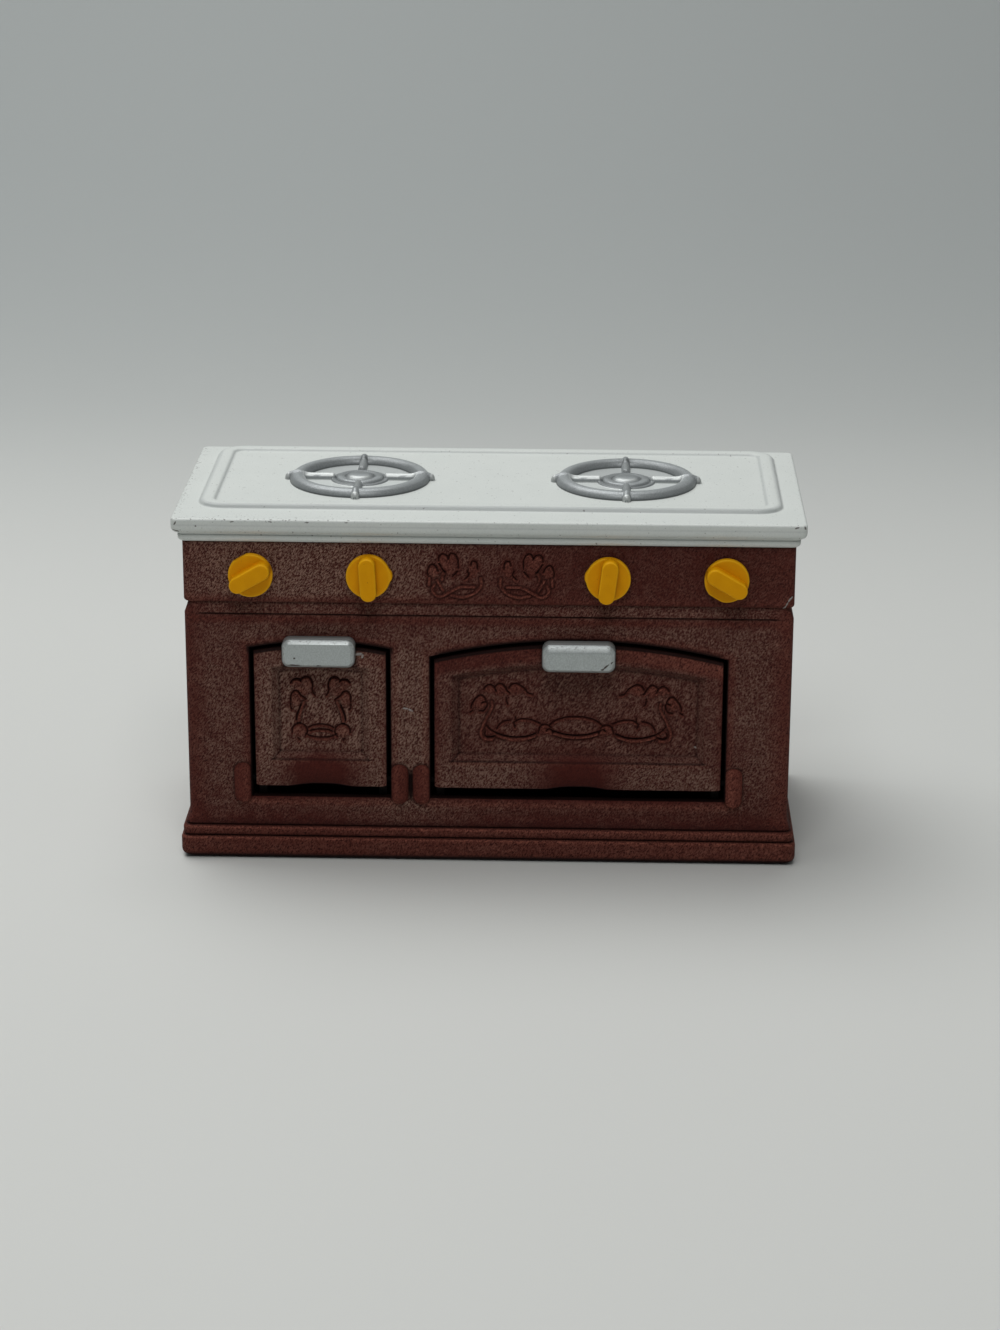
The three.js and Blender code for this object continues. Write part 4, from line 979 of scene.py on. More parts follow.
def distance(lines, x, z, mirror, reach=1.3):
    """Distance from each point to the nearest of the lines or of their mirror images about
    x = mirror, and at most reach. Each line is a list of points for a smooth curve."""
    flat = np.stack([np.ravel(x), np.ravel(z)], -1)
    nearest = np.full(len(flat), reach)
    for points in lines:
        curve = smooth_curve(points)
        for path in (curve, curve * [-1, 1] + [2 * mirror, 0]):
            low, high = path.min(0) - reach, path.max(0) + reach
            near = np.flatnonzero(((flat > low) & (flat < high)).all(1))
            start, step = path[:-1], np.diff(path, axis=0)
            offset = flat[near, None] - start
            share = (offset * step).sum(-1) / np.maximum((step * step).sum(-1), 1e-9)
            gap = offset - clamp(share)[..., None] * step
            nearest[near] = np.minimum(nearest[near], np.sqrt((gap * gap).sum(-1)).min(1))
    return nearest.reshape(np.shape(x))


GROOVE_WIDE, GROOVE_DEEP, RIDGE_WIDE, RIDGE_HIGH, LIP_DROP = 0.16, 0.35, 0.22, 0.26, 0.38
RIBBON_HIGH, LOBE_HIGH = 0.34, 0.32
FLANK, FLANK_WIDE, FLANK_DEEP = 0.44, 0.14, 0.14
HALO = 0.9


class Carving:
    """One part's ornament, mirrored about x = mirror. A lobe is an ellipse: its middle and its
    two half axes."""

    def __init__(self, mirror, grooves, ribbons, lobes):
        self.mirror, self.grooves, self.ribbons, self.lobes = mirror, grooves, ribbons, lobes

    def shares(self, x, z):
        """How much each point belongs to a groove, a leaf's raised edge, a ribbon, a ribbon's
        flank and a lobe, each from 0 to 1."""
        groove = bell(distance(self.grooves, x, z, self.mirror), GROOVE_WIDE)
        edge = bell(distance(self.grooves, x, z + LIP_DROP, self.mirror), RIDGE_WIDE)
        gap = distance(self.ribbons, x, z, self.mirror)
        swell = np.zeros(np.shape(x))
        folded = self.mirror - np.abs(x - self.mirror)
        for cx, cz, wide, high in self.lobes:
            inside = 1 - ((folded - cx) / wide) ** 2 - ((z - cz) / high) ** 2
            swell = np.maximum(swell, clamp(inside) ** 0.7)
        return groove, edge, bell(gap, RIDGE_WIDE), bell(gap - FLANK, FLANK_WIDE), swell

    def depth(self, x, z):
        """How far the surface lies behind the plain face, in millimetres."""
        groove, edge, ribbon, flank, swell = self.shares(x, z)
        return (GROOVE_DEEP * groove + FLANK_DEEP * flank - RIDGE_HIGH * edge * (1 - groove)
                - RIBBON_HIGH * ribbon - LOBE_HIGH * swell * (1 - groove))

    def marks(self, x, z):
        """Painted shade in the grooves and beside the ribbons, rubbing with painted highlights on
        the raised edges, ribbons and lobes, and where the spray is missing.
        """
        groove, edge, ribbon, flank, swell = self.shares(x, z)
        rub = clamp(0.75 * edge + ribbon + 0.45 * swell) * (1 - groove)
        return 0.82 * groove + 0.6 * flank * (1 - ribbon), rub, clamp(groove + rub)

    def halo(self, x, z):
        """1 on a line of the ornament, falling to nothing within two times HALO."""
        return bell(distance(self.grooves + self.ribbons, x, z, self.mirror), HALO)


print("a curve through 3 points has", len(smooth_curve([(0, 0), (1, 1), (2, 0)])), "points")

# %% [markdown]
# These are the ornament's points, in millimetres: x to the right and z up. Each inner list is
# one line. The ornament on the left door is mirrored about the door's own middle, and the two
# others about a line a little beside it.

# %% The ornament's lines
PANEL_FOLD, RIGHT_FOLD = 0.5, 18.35
PANEL_CARVING = Carving(PANEL_FOLD, grooves=[
    [(-10.2, 65.78), (-10.1, 66.58), (-9.7, 67.08), (-9.2, 67.18), (-8.6, 66.88), (-8.2, 66.18)],
    [(-8.2, 66.28), (-7.9, 67.08), (-7.4, 67.38), (-6.8, 67.08), (-6.4, 66.38), (-6.2, 65.58),
     (-6.2, 64.18)],
    [(-10.1, 65.18), (-9.6, 64.18), (-8.9, 63.28)],
    [(-7.3, 62.38), (-6.8, 62.98), (-6.3, 63.58)],
    [(-12.5, 62.58), (-12.5, 63.58), (-12.1, 64.58), (-11.5, 64.98), (-10.8, 64.48),
     (-10.3, 63.48)],
    [(-3.6, 64.88), (-3.3, 65.68), (-2.7, 65.68), (-2.3, 65.08), (-2.2, 64.08)],
    [(-4.3, 63.58), (-4, 62.78), (-4.8, 61.88)],
], ribbons=[
    [(-12.1, 61.98), (-12.2, 60.48)],
    [(-9.1, 63.18), (-9.5, 62.38), (-9.5, 61.68)],
    [(-10.5, 61.58), (-10, 60.58), (-9.3, 59.38)],
    [(-11.1, 60.58), (-11.5, 59.38), (-11, 58.48), (-10.2, 58.08), (-9.5, 58.18), (-8.5, 58.68),
     (-7, 59.58), (-6, 60.08), (-5, 60.18), (-2.9, 60.18)],
    [(-7.6, 58.38), (-5.6, 57.98), (-4, 58.28), (-2.8, 58.88), (-1.8, 59.88), (-1.4, 60.88),
     (-1.6, 62.08)],
], lobes=[(-9.25, 65.88, 0.95, 1.1), (-7.3, 66.08, 1, 1.15), (-8.1, 64.48, 1.5, 1.8),
          (-11.3, 63.48, 1.15, 1.5), (-2.95, 64.98, 0.7, 0.75), (-3.1, 63.28, 1, 1.4)])
LEFT_CARVING = Carving(WAYS[0].middle, grooves=[
    [(-41.2, 38.56), (-40.7, 39.19), (-40, 39.4), (-39.4, 39.29), (-39.1, 38.98)],
    [(-38.9, 39.4), (-38.4, 39.8), (-37.8, 39.9), (-37.2, 39.6), (-36.8, 38.87), (-36.6, 37.93),
     (-36.75, 37.1), (-36.5, 36.26), (-36.2, 35.85)],
    [(-41.3, 34.38), (-41.25, 35.64), (-40.8, 36.47), (-40.3, 36.79), (-39.7, 36.58),
     (-39.2, 35.85), (-38.6, 35.32), (-38, 34.91)],
    [(-41.3, 33.97), (-41.3, 33.13), (-41, 32.61)],
    [(-39.2, 33.55), (-39.6, 32.4), (-40.05, 31.36), (-40.2, 30.31)],
    [(-41.1, 27.49), (-41, 28.43), (-40.4, 29.16), (-39.5, 29.48), (-38.6, 29.16), (-38, 28.43),
     (-37.9, 27.49), (-38.3, 26.76)],
    [(-39.9, 26.25), (-39.6, 25.95)],
    [(-37.6, 28.64), (-36.8, 29.06), (-35.8, 29.32), (-34.95, 29.37)],
    [(-37.3, 27.81), (-36.6, 28.12), (-35.6, 28.22), (-34.95, 28.22)],
    [(-38.2, 27.29), (-37.6, 26.87), (-36.6, 26.55), (-34.95, 26.4)],
], ribbons=[
    [(-38.5, 34.18), (-38.9, 33.13), (-39.3, 31.88), (-39.55, 30.73), (-39.6, 30)],
], lobes=[(-39.9, 38.14, 1.2, 1.15), (-37.8, 38.35, 1.15, 1.4), (-38.8, 36.79, 1.8, 1.3),
          (-40.1, 34.91, 1.15, 1.7), (-39.5, 27.81, 1.5, 1.5)])
RIGHT_CARVING = Carving(RIGHT_FOLD, grooves=[
    [(-0.9, 37.56), (-0.5, 38.18), (0.33, 38.59), (1, 38.28), (1.4, 37.77), (1.67, 37.15)],
    [(1.5, 38.18), (2, 38.69), (2.7, 38.8), (3.5, 38.13), (3.9, 37.36), (4.4, 36.84)],
    [(4.3, 37.77), (4.8, 38.59), (5.8, 38.9), (6.5, 38.59), (7.5, 37.87), (8.3, 36.84),
     (9.3, 36.53)],
    [(3.75, 35.81), (3.8, 34.99), (4.1, 34.27)],
    [(-3.6, 33.34), (-3.4, 34.17), (-2.7, 35.4), (-1.8, 36.22), (-1, 36.02), (-0.5, 35.09)],
    [(-1.3, 34.58), (-0.5, 34.78), (-0.2, 34.06), (-0.8, 32.93), (-1.8, 32.73)],
    [(-3.8, 32.42), (-3.3, 32.83)],
    [(-0.6, 28.2), (-0.7, 27.48), (-0.1, 26.96), (0.7, 27.06), (1.3, 27.27)],
    [(-0.3, 29.53), (0.3, 28.81), (1.3, 28.09), (2.7, 27.53), (4, 27.22), (5.8, 27.01),
     (8, 27.22), (9.3, 27.63), (10, 27.99)],
    [(1.8, 28.81), (2.3, 29.74), (3.2, 30.46), (4.6, 30.77)],
    [(5.7, 31.49), (5.8, 30.67), (5.4, 30.15), (5.6, 29.23)],
    [(5.8, 30.56), (6.7, 31.03), (7.8, 31.08), (9, 30.92), (10, 30.51), (10.8, 30.15)],
    [(10.5, 27.89), (10.6, 28.51), (10.95, 29.53), (11.8, 29.95), (12.6, 29.74), (13.1, 29.33)],
    [(12.2, 28.61), (12.7, 28.97), (13.2, 28.81), (13.6, 28.2)],
    [(12.9, 29.84), (13.5, 30.46), (14.4, 30.98), (15.7, 31.44), (17, 31.7), (RIGHT_FOLD, 31.7)],
    [(13.7, 28.51), (14.5, 28.2), (15.5, 27.89), (16.7, 27.68), (RIGHT_FOLD, 27.58)],
], ribbons=[
    [(0.75, 34.78), (0.83, 33.75), (0.33, 32.42), (-0.5, 30.87), (-1, 29.64), (-1.4, 28.61),
     (-1.5, 27.68), (-1.1, 26.76), (-0.2, 26.45), (0.9, 26.55)],
    [(1.9, 27.32), (3.2, 26.86), (5, 26.55), (6.8, 26.55), (8.4, 26.81), (9.8, 27.37)],
    [(13.9, 27.89), (15.4, 27.42), (16.9, 27.17), (RIGHT_FOLD, 27.06)],
], lobes=[(0.35, 37.46, 1.1, 1.05), (2.6, 37.25, 1.2, 1.4), (5.7, 37.46, 1.6, 1.3),
          (-1.9, 34.58, 1.4, 1.5), (11.6, 28.61, 0.95, 1.15), (12.95, 28.4, 0.8, 0.95)])
DOOR_CARVING = {"left": LEFT_CARVING, "right": RIGHT_CARVING}
print("lines:", [len(carving.grooves + carving.ribbons)
                 for carving in (PANEL_CARVING, LEFT_CARVING, RIGHT_CARVING)])

# %% [markdown]
# ## The control panel
#
# The panel is a four-sided frame between the cabinet and the worktop. Its lower edge is rounded
# and its face carries the ornament between the knobs. The grid's rows and columns stand close
# together only there, so that the carving is sharp and the rest stays light.


# %% Make the control panel
def stops(*ranges):
    """Places along a line, from ranges of start, end and rough spacing that follow each
    other."""
    parts = [np.linspace(a, b, max(int(round((b - a) / gap)), 1), endpoint=False)
             for a, b, gap in ranges]
    return np.concatenate(parts + [[ranges[-1][1]]])


PANEL_ROUND, PANEL_CORNER, PANEL_WALL = 0.85, 1.0, 2.4
CARVED_LEFT, CARVED_RIGHT, CARVED_LOW, CARVED_HIGH, FINE = -13.4, 14.4, 57.6, 68.6, 0.15
panel_x = stops((-HALF + PANEL_CORNER, CARVED_LEFT, 8), (CARVED_LEFT, CARVED_RIGHT, FINE),
                (CARVED_RIGHT, HALF - PANEL_CORNER, 8))
panel_z = stops((CABINET_TOP + PANEL_ROUND, CARVED_LOW, 0.4), (CARVED_LOW, CARVED_HIGH, FINE),
                (CARVED_HIGH, PANEL_TOP, 0.4))


def panel_levels():
    """The panel's profile: the rounded lower edge, the face, and down again inside."""
    lower = arc((-PANEL_ROUND, CABINET_TOP + PANEL_ROUND), PANEL_ROUND, -78, -8, 7)
    face = [(0, z) for z in panel_z]
    levels = [body_level(z, grow, PANEL_CORNER) for grow, z in lower + face]
    inside = [inner_level(z, PANEL_WALL) for z in (PANEL_TOP, levels[0][0])]
    return levels + inside + levels[:1]


panel_grid = moulding(panel_levels(), panel_x / (HALF - PANEL_CORNER))
on_face = np.abs(panel_grid[..., 1] - FRONT) < 1e-6
carved = PANEL_CARVING.depth(panel_grid[..., 0], panel_grid[..., 2])
panel_grid[..., 1] += np.where(on_face, carved, 0)


def panel_marks(x, y, z):
    """Dust over the face: most at the left, and little at the carving, the lower lip and the
    corners, which are rubbed. The carving's raised parts have painted highlights, and painted
    shade lies in the carving and in the joints under and over the panel."""
    front = y < FRONT + 1
    # Painted shade in the carving, and painted highlights with rubbing on its raised parts.
    dark, rub, bare = PANEL_CARVING.marks(x, z)
    lip = clamp((z - CABINET_TOP - 0.7) / 1.6)
    corner = clamp((HALF - np.abs(x)) / 4)
    lean = 0.5 - 0.5 * np.tanh((x + 12) / 20)
    around = PANEL_CARVING.halo(x, z)
    dust = 0.25 + (0.1 + 0.8 * lean) * (0.25 + 0.75 * lip) * (0.3 + 0.7 * corner)
    # Painted shade in the joints under the panel and under the worktop's edge.
    joint = 0.6 * (z < CABINET_TOP + 0.12) + 0.6 * bell(z - PANEL_TOP, 0.35)
    return {"spray": dust * (1 - 0.9 * bare * front) * (1 - 0.5 * around * front),
            "rub": front * (rub + 0.15 * around) + 0.25 * (1 - lip) + 0.2 * (1 - corner),
            "line": front * (dark + joint)}


make_part("panel_band", Shape().grid(panel_grid, closed=True), "stove", BROWN,
          "control_panel", panel_marks)

# %% [markdown]
# ## The worktop
#
# The worktop's edge steps out in two stages: a quarter round above the panel, a fine groove,
# and a thick lip whose lower side curves in. On top runs a low raised frame with rounded
# shoulders, and inside it the hob lies a little higher than the lip. Underneath it is hollow,
# with four long screw bosses.

# %% Make the worktop
worktop_low, worktop_high = span("worktop")
RIM_TOP = PANEL_TOP + 5.2
HOB_TOP = RIM_TOP + 0.3
OUT_SIDE = worktop_high[0] - HALF
OUT_FRONT, OUT_BACK = FRONT - worktop_low[1], worktop_high[1] - BACK
EDGE_CORNER, FRAME_CORNER = 1.2, 5.5
FRAME_SIDE, FRAME_FRONT, FRAME_BACK = 4.3, 8.35, 1.5
PLATE_UNDER, HOLLOW_INSET, BOSS_RADIUS = HOB_TOP - 2.1, 1.6, 2.6


def edge_level(height, inset):
    """A level of the worktop, drawn in from its outer edge."""
    return (height, HALF + OUT_SIDE - inset, FRONT - OUT_FRONT + inset, BACK + OUT_BACK - inset,
            EDGE_CORNER, EDGE_CORNER)


def frame_level(height, inset):
    """A level of the raised frame, drawn in from its outer foot."""
    corner = FRAME_CORNER - inset
    return (height, HALF + OUT_SIDE - FRAME_SIDE - inset,
            FRONT - OUT_FRONT + FRAME_FRONT + inset,
            BACK + OUT_BACK - FRAME_BACK - inset, corner, corner)


def worktop_levels():
    """The worktop's profile, from inside the hollow out, up and over to the hob's middle. Its
    parts are lists of inset and height."""
    under = [closing_level(PLATE_UNDER)]
    under += [inner_level(z, HOLLOW_INSET) for z in (PLATE_UNDER, PANEL_TOP)]
    belly = [(2.05 - 0.85 * np.cos(t), 0.95 + 0.95 * np.sin(t))
             for t in np.radians(np.linspace(-90, 0, 8))]
    groove = [(1.2, 1.4), (1.26, 1.52), (1.36, 1.6), (1.3, 1.7), (1.1, 1.84)]
    lip = [(0.72, 2.06), (0.42, 2.28), (0.2, 2.54), (0.06, 2.88)]
    lip += [(0, z) for z in np.linspace(3.3, 4.4, 8)]
    lip += [(0.5 - offset, height) for offset, height in arc((0, 4.7), 0.5, 0, 90, 8)]
    edge = [edge_level(PANEL_TOP + z, inset) for inset, z in belly + groove + lip]
    flat = [edge_level(RIM_TOP, 0.8), frame_level(RIM_TOP, -0.25)]
    bead = [(0, 0), (0.1, 0.06), (0.22, 0.24), (0.36, 0.46), (0.56, 0.64), (0.85, 0.75),
            (1.3, 0.795), (1.8, 0.8), (2.6, 0.8), (3.0, 0.77), (3.25, 0.68), (3.42, 0.54),
            (3.56, 0.4), (3.72, 0.325), (4.0, 0.3), (4.7, 0.3)]
    top = [frame_level(RIM_TOP + z, inset) for inset, z in bead]
    return under + edge + flat + top + [closing_level(HOB_TOP)]


def tube(middle, axis, profile, sides=24):
    """A turned surface: radius and place along the axis for each row, spun about a line through
    middle. The axis is the number of the coordinate that it runs along."""
    turn = np.arange(sides) / sides * 2 * np.pi
    radius, along = np.array(profile, float).T[:, :, None]
    first, second = [number for number in range(3) if number != axis]
    surface = np.empty((len(profile), sides, 3))
    surface[..., axis] = middle[axis] + along
    surface[..., first] = middle[first] + radius * np.cos(turn)
    surface[..., second] = middle[second] + radius * np.sin(turn)
    return surface


worktop = Shape().grid(moulding(worktop_levels(), np.linspace(-1, 1, 9)), closed=True)
long = PLATE_UNDER - CABINET_TOP + 0.5
boss = [(0, 0), (BOSS_RADIUS, 0), (BOSS_RADIUS, long), (0, long)]
for number in range(1, 5):
    x, y = centre(f"worktop_screw_{number}")[:2]
    worktop.grid(tube((x, y, CABINET_TOP), 2, boss), closed=True)


def frame_gap(x, y):
    """Distance inwards from the raised frame's outer foot, which is a rounded rectangle."""
    half = HALF + OUT_SIDE - FRAME_SIDE - FRAME_CORNER
    front, back = FRONT - OUT_FRONT + FRAME_FRONT, BACK + OUT_BACK - FRAME_BACK
    middle, deep = (front + back) / 2, (back - front) / 2 - FRAME_CORNER
    beyond_x, beyond_y = np.abs(x) - half, np.abs(y - middle) - deep
    corner = np.hypot(np.clip(beyond_x, 0, None), np.clip(beyond_y, 0, None))
    return FRAME_CORNER - corner - np.clip(np.maximum(beyond_x, beyond_y), None, 0)


def worktop_marks(x, y, z):
    """The edges where paint chips off, which are the lip's upper edge, most at the left, and
    less its lower one, and painted shade: on the raised frame's outer slope, most at the front,
    at its inner foot, in the groove, faint along the lip, and at the joint with the panel."""
    out = np.maximum(np.abs(x) - HALF - OUT_SIDE, FRONT - OUT_FRONT - y) > -1.0
    wear = 0.52 + 0.33 * clamp(-(x + 20) / 20)
    upper = wear * bell(z - RIM_TOP + 0.15, 0.4)
    lower = 0.5 * bell(z - PANEL_TOP - 2.45, 0.35)
    gap, top = frame_gap(x, y), z > RIM_TOP - 0.1
    # Painted shade on the raised frame's outer slope, most at the front, and at its inner foot.
    slope = np.exp(-((gap - 0.4) / 0.7) ** 4) * (gap > -0.1)
    at_front = y < FRONT - OUT_FRONT + FRAME_FRONT + 2
    frame_shade = np.where(at_front, 0.75, 0.42) * slope + 0.55 * bell(gap - 3.45, 0.35)
    height = z - PANEL_TOP
    # Painted shade in the groove, faint along the lip, and at the joint with the panel.
    below = (0.4 * bell(height - 1.6, 0.18) + 0.1 * bell(height - 2.15, 0.35)
             + 0.3 * bell(height - 3.85, 0.17) + 0.25 * bell(height, 0.2))
    return {"edge": clamp(upper + lower) * out,
            "crease": np.where(top, frame_shade, below)}


make_part("worktop_cast", worktop, "stove", WHITE, "worktop", worktop_marks, sharp=50)

# %% [markdown]
# ## The burners
#
# A burner is a silver casting: a round-backed ring, a low stepped hub, and four arms that run
# from the hub, rise over the ring and end in little noses outside it. It is worked out as
# heights above the hob on a round grid. The heights of ring, hub and arms are blended by a
# smooth maximum, which leaves a small fillet where they meet, as a casting has.
#
# A plain round grid would cut across the arms' edges and leave them ragged. So its columns are
# bent: near an arm they run parallel to it, and only between the arms they spread out.

# %% The burners' heights
RING_OUT, RING_IN, RING_HIGH = 14.95, 11.35, 1.8
ARM_HALF, ARM_START, ARM_END, NOSE = 0.95, 5.15, 16.0, 0.95
ARM_STOPS = np.array([0, 0.3, 0.55, 0.75, 0.88, 0.96, 1.04])
FLOOR, SUNK, PEG_RADIUS = 0.06, 0.4, 1.6
HUB_GROOVE, HUB_STEP, HUB_END = 3.05, 5.1, 6.32
# Profiles of the hub and of an arm's crest: distance from the burner's middle, and height.
HUB = smooth_curve([(0, 1.5), (1.2, 1.48), (2.0, 1.38), (2.5, 1.18), (2.8, 0.92),
                    (HUB_GROOVE, 0.82), (3.4, 0.88), (3.9, 1.0), (4.4, 1.0), (4.75, 0.88),
                    (4.95, 0.62), (HUB_STEP, 0.48), (5.4, 0.47), (5.85, 0.44), (6.12, 0.3),
                    (6.27, 0.06), (HUB_END, 0)], 3)
ARM_TOP = smooth_curve([(0, 1.45), (6, 1.45), (10.6, 1.45), (11.6, 1.68), (12.4, 2), (13.15, 2.1),
                        (13.9, 2), (14.7, 1.68), (15.4, 1.5), (17, 1.5)], 6)


def soft_max(first, second, blend=0.14):
    """The larger of two heights, with a rounded fillet of about blend where they cross:
    (a + b + sqrt((a - b)^2 + blend^2) - blend) / 2."""
    return (first + second + np.sqrt((first - second) ** 2 + blend ** 2) - blend) / 2


def ring_height(radius):
    """Half an ellipse across the ring's width."""
    middle, half = (RING_OUT + RING_IN) / 2, (RING_OUT - RING_IN) / 2
    return RING_HIGH * np.sqrt(clamp(1 - ((radius - middle) / half) ** 2))


def arm_height(offset, radius):
    """A rounded bar with a rounded nose at both ends: top * sqrt(1 - across^2.4 - nose^2.4)."""
    outer_nose = clamp((radius - ARM_END + NOSE) / NOSE)
    inner_nose = clamp((ARM_START + NOSE * 0.7 - radius) / (NOSE * 0.7))
    across = np.abs(offset) ** 2.4 + (outer_nose + inner_nose) ** 2.4
    return np.interp(radius, *ARM_TOP.T) * np.sqrt(clamp(1 - across))


def burner_surface(x, y):
    """The burner over its whole round grid. Rows are radii. In each quarter the columns first
    cross half an arm at fixed offsets, then spread evenly to the next arm."""
    radii = np.concatenate([
        HUB[HUB[:, 0] < HUB_STEP, 0], np.linspace(ARM_START, HUB_END, 13),
        np.linspace(6.7, 10.9, 7),
        RING_IN + (1 - np.cos(np.linspace(0, np.pi, 21))) * 1.8,
        np.linspace(15.02, 15.9, 9), [15.96, ARM_END]])[:, None]
    limit = np.minimum(ARM_HALF, radii * 0.6)
    bank = np.arcsin(np.clip(limit * ARM_STOPS / np.maximum(radii, 1e-6), 0, 0.7))
    spread = np.linspace(0, 1, 17)[1:-1]
    between = bank[:, -1:] + (np.pi / 2 - 2 * bank[:, -1:]) * spread
    sector = np.hstack([bank, between, np.pi / 2 - bank[:, :0:-1]])
    offsets = np.concatenate([ARM_STOPS, np.full(len(spread), 9), ARM_STOPS[:0:-1]])
    angle = np.hstack([sector + turn * np.pi / 2 for turn in range(4)])
    offset = np.tile(offsets, 4)[None, :] * limit / ARM_HALF
    plain = soft_max(ring_height(radii), np.interp(radii, *HUB.T, right=0))
    height = soft_max(plain * np.ones_like(angle), arm_height(offset, radii))
    height = np.maximum(height, FLOOR)
    outside = (radii > RING_OUT - 0.02) & (height <= FLOOR)
    sunk = np.where(outside | (radii >= ARM_END - 1e-6), -SUNK, height)
    return np.stack([x + radii * np.cos(angle), y + radii * np.sin(angle), HOB_TOP + sunk], -1)


def burner_shape(side):
    """The casting's top, closed beneath by a disc, and its peg."""
    x, y = centre("burner_" + side)[:2]
    top = burner_surface(x, y)
    under = np.stack([top[-1], np.broadcast_to([x, y, HOB_TOP - SUNK], top[-1].shape)])
    shape = Shape().grid(top, closed=True).grid(under, closed=True)
    foot = span("burner_" + side)[0][2] - HOB_TOP
    peg = [(0, -0.5), (PEG_RADIUS, -0.5), (PEG_RADIUS, foot), (0, foot)]
    return shape.grid(tube((x, y, HOB_TOP), 2, peg), closed=True)


print("hub and arm profiles:", len(HUB), "and", len(ARM_TOP), "points")

# %% [markdown]
# The burners' marks follow the same round layout. The distance from a burner's middle says
# whether a point is on the hub, the floor, the ring or a nose, and the height says whether it
# is on an arm.


# %% Make the burners
def burner_marks(x, y, z):
    """The floor is paler paint, with painted shade on its rear half. The crests of the arms that
    run sideways, the noses, the hub's front and two lines on the ring get painted highlights.
    Painted shade lies at the foot of every form, in the hub's groove, on the other two arms, on
    the hub's rear and on the ring's outer side and rear inner wall."""
    height = z - HOB_TOP
    half_gap, middle_y = centre("burner_right")[:2]
    across, behind = x - np.sign(x) * half_gap, y - middle_y
    radius = np.hypot(across, behind)
    floor = (height < FLOOR + 0.02) & (radius < RING_IN + 0.3)
    # Painted shade at the foot of every form and in the hub's groove.
    foot = bell(height - FLOOR - 0.12, 0.2) * ~floor * (height > 0)
    groove = bell(radius - HUB_GROOVE, 0.25) + bell(radius - HUB_STEP, 0.16) * (height < 0.7)
    # Painted shade on the ring's outer side.
    outer = 0.25 * clamp((radius - 13.4) / 0.8) * (height < 1.3)
    spoke = (height > 0.95) * (radius > 5.2) * (radius < 11.6)
    # Painted highlights on the crests of the arms that run sideways and on the noses.
    crest_highlight = spoke * np.where(np.abs(behind) < 1.2, 1.0, 0.15) + 0.9 * (radius > 15.1)
    # Painted highlight lines on the ring: the near ring's inner edge and the far ring's crest.
    worn = np.where(behind < 0, 0.6 * bell(radius - 12.0, 0.25), 0.4 * bell(radius - 14.1, 0.3))
    # Painted shade on the ring's rear inner wall, on the two arms that run front to back and on the
    # hub's rear, and a painted highlight on the hub's front.
    inner_wall_shade = 0.45 * (behind > 0) * bell(radius - 11.9, 0.6)
    arms = 0.32 * (height > 0.95) * (radius > 4.6) * (radius < 13.6) * (np.abs(across) < 1.2)
    glint = 0.8 * bell(radius - 2.4, 0.4) * clamp(-behind - 0.9)
    hub = 0.38 * (radius < 5) * clamp((behind + 1.2) / 1.2)
    # The floor is paler paint, with painted shade on its rear half.
    return {"thin": np.where(behind < 0, 1.0, 0.6) * floor + crest_highlight + worn + glint,
            "crease": 0.75 * foot + 0.6 * groove * (height < 1.2) + outer + inner_wall_shade + arms + hub}


for side in ("left", "right"):
    make_part("burner_cast_" + side, burner_shape(side), "stove", SILVER,
              "burner_" + side, burner_marks, sharp=55)

# %% [markdown]
# ## The oven doors
#
# A door is an arched slab with a bevelled recess, the ornament on the recess's floor and a
# shallow scoop for a finger low in the middle. Its front is a grid of depths. The grid's lines
# are placed where the form changes: along the door's edge, along both sides of the bevel, and
# close together where the ornament is. The rows bend with the arch, so the top rail is as even
# as on the real door.

# %% The doors' fronts
STILE, TOP_RAIL, BOTTOM_RAIL, BEVEL, SINK = 3.7, 4.1, 6.0, 1.5, 1.3
SCOOP_HALF, SCOOP_HIGH, SCOOP_SINK, SCOOP_LIFT = 8.6, 6.2, 0.75, 0.5
DOOR_CORNER, DOOR_SOFT, EDGE_HOLD = 0.6, 0.3, 0.5
PIVOT_DEEP, HEEL = 1.2, 1.5
# Where each door's ornament begins and ends from left to right, and its lowest height. FINE is
# the spacing of the grid's lines there, and STEEP that on the bevels.
CARVED = {"left": (-41.9, -28.0, 26.0), "right": (-4.4, 42.0, 26.4)}
STEEP = 0.19


def foot_lift(way, x):
    """How far the door's lower edge is lifted: by its rounded corners, each a quarter circle,
    and by a low swell over the scoop."""
    side = np.minimum(x - way.left, way.right - x) - DOOR_GAP
    short = np.clip(DOOR_CORNER - side, 0, DOOR_CORNER)
    corner = DOOR_CORNER - np.sqrt(DOOR_CORNER ** 2 - short ** 2)
    return corner + SCOOP_LIFT * np.exp(-((x - way.middle) / 5.2) ** 4)


def door_columns(way):
    """Places of the door's columns, with one on each line where the form changes, and close
    together on the bevels and over the ornament."""
    left, right = way.left + DOOR_GAP, way.right - DOOR_GAP
    near, far = CARVED[way.side][:2]
    return stops(
        (left + EDGE_HOLD, left + STILE, 0.8), (left + STILE, left + STILE + BEVEL, STEEP),
        (left + STILE + BEVEL, near, 0.6), (near, far, FINE),
        (far, right - STILE - BEVEL, 0.6), (right - STILE - BEVEL, right - STILE, STEEP),
        (right - STILE, right - EDGE_HOLD, 0.8))


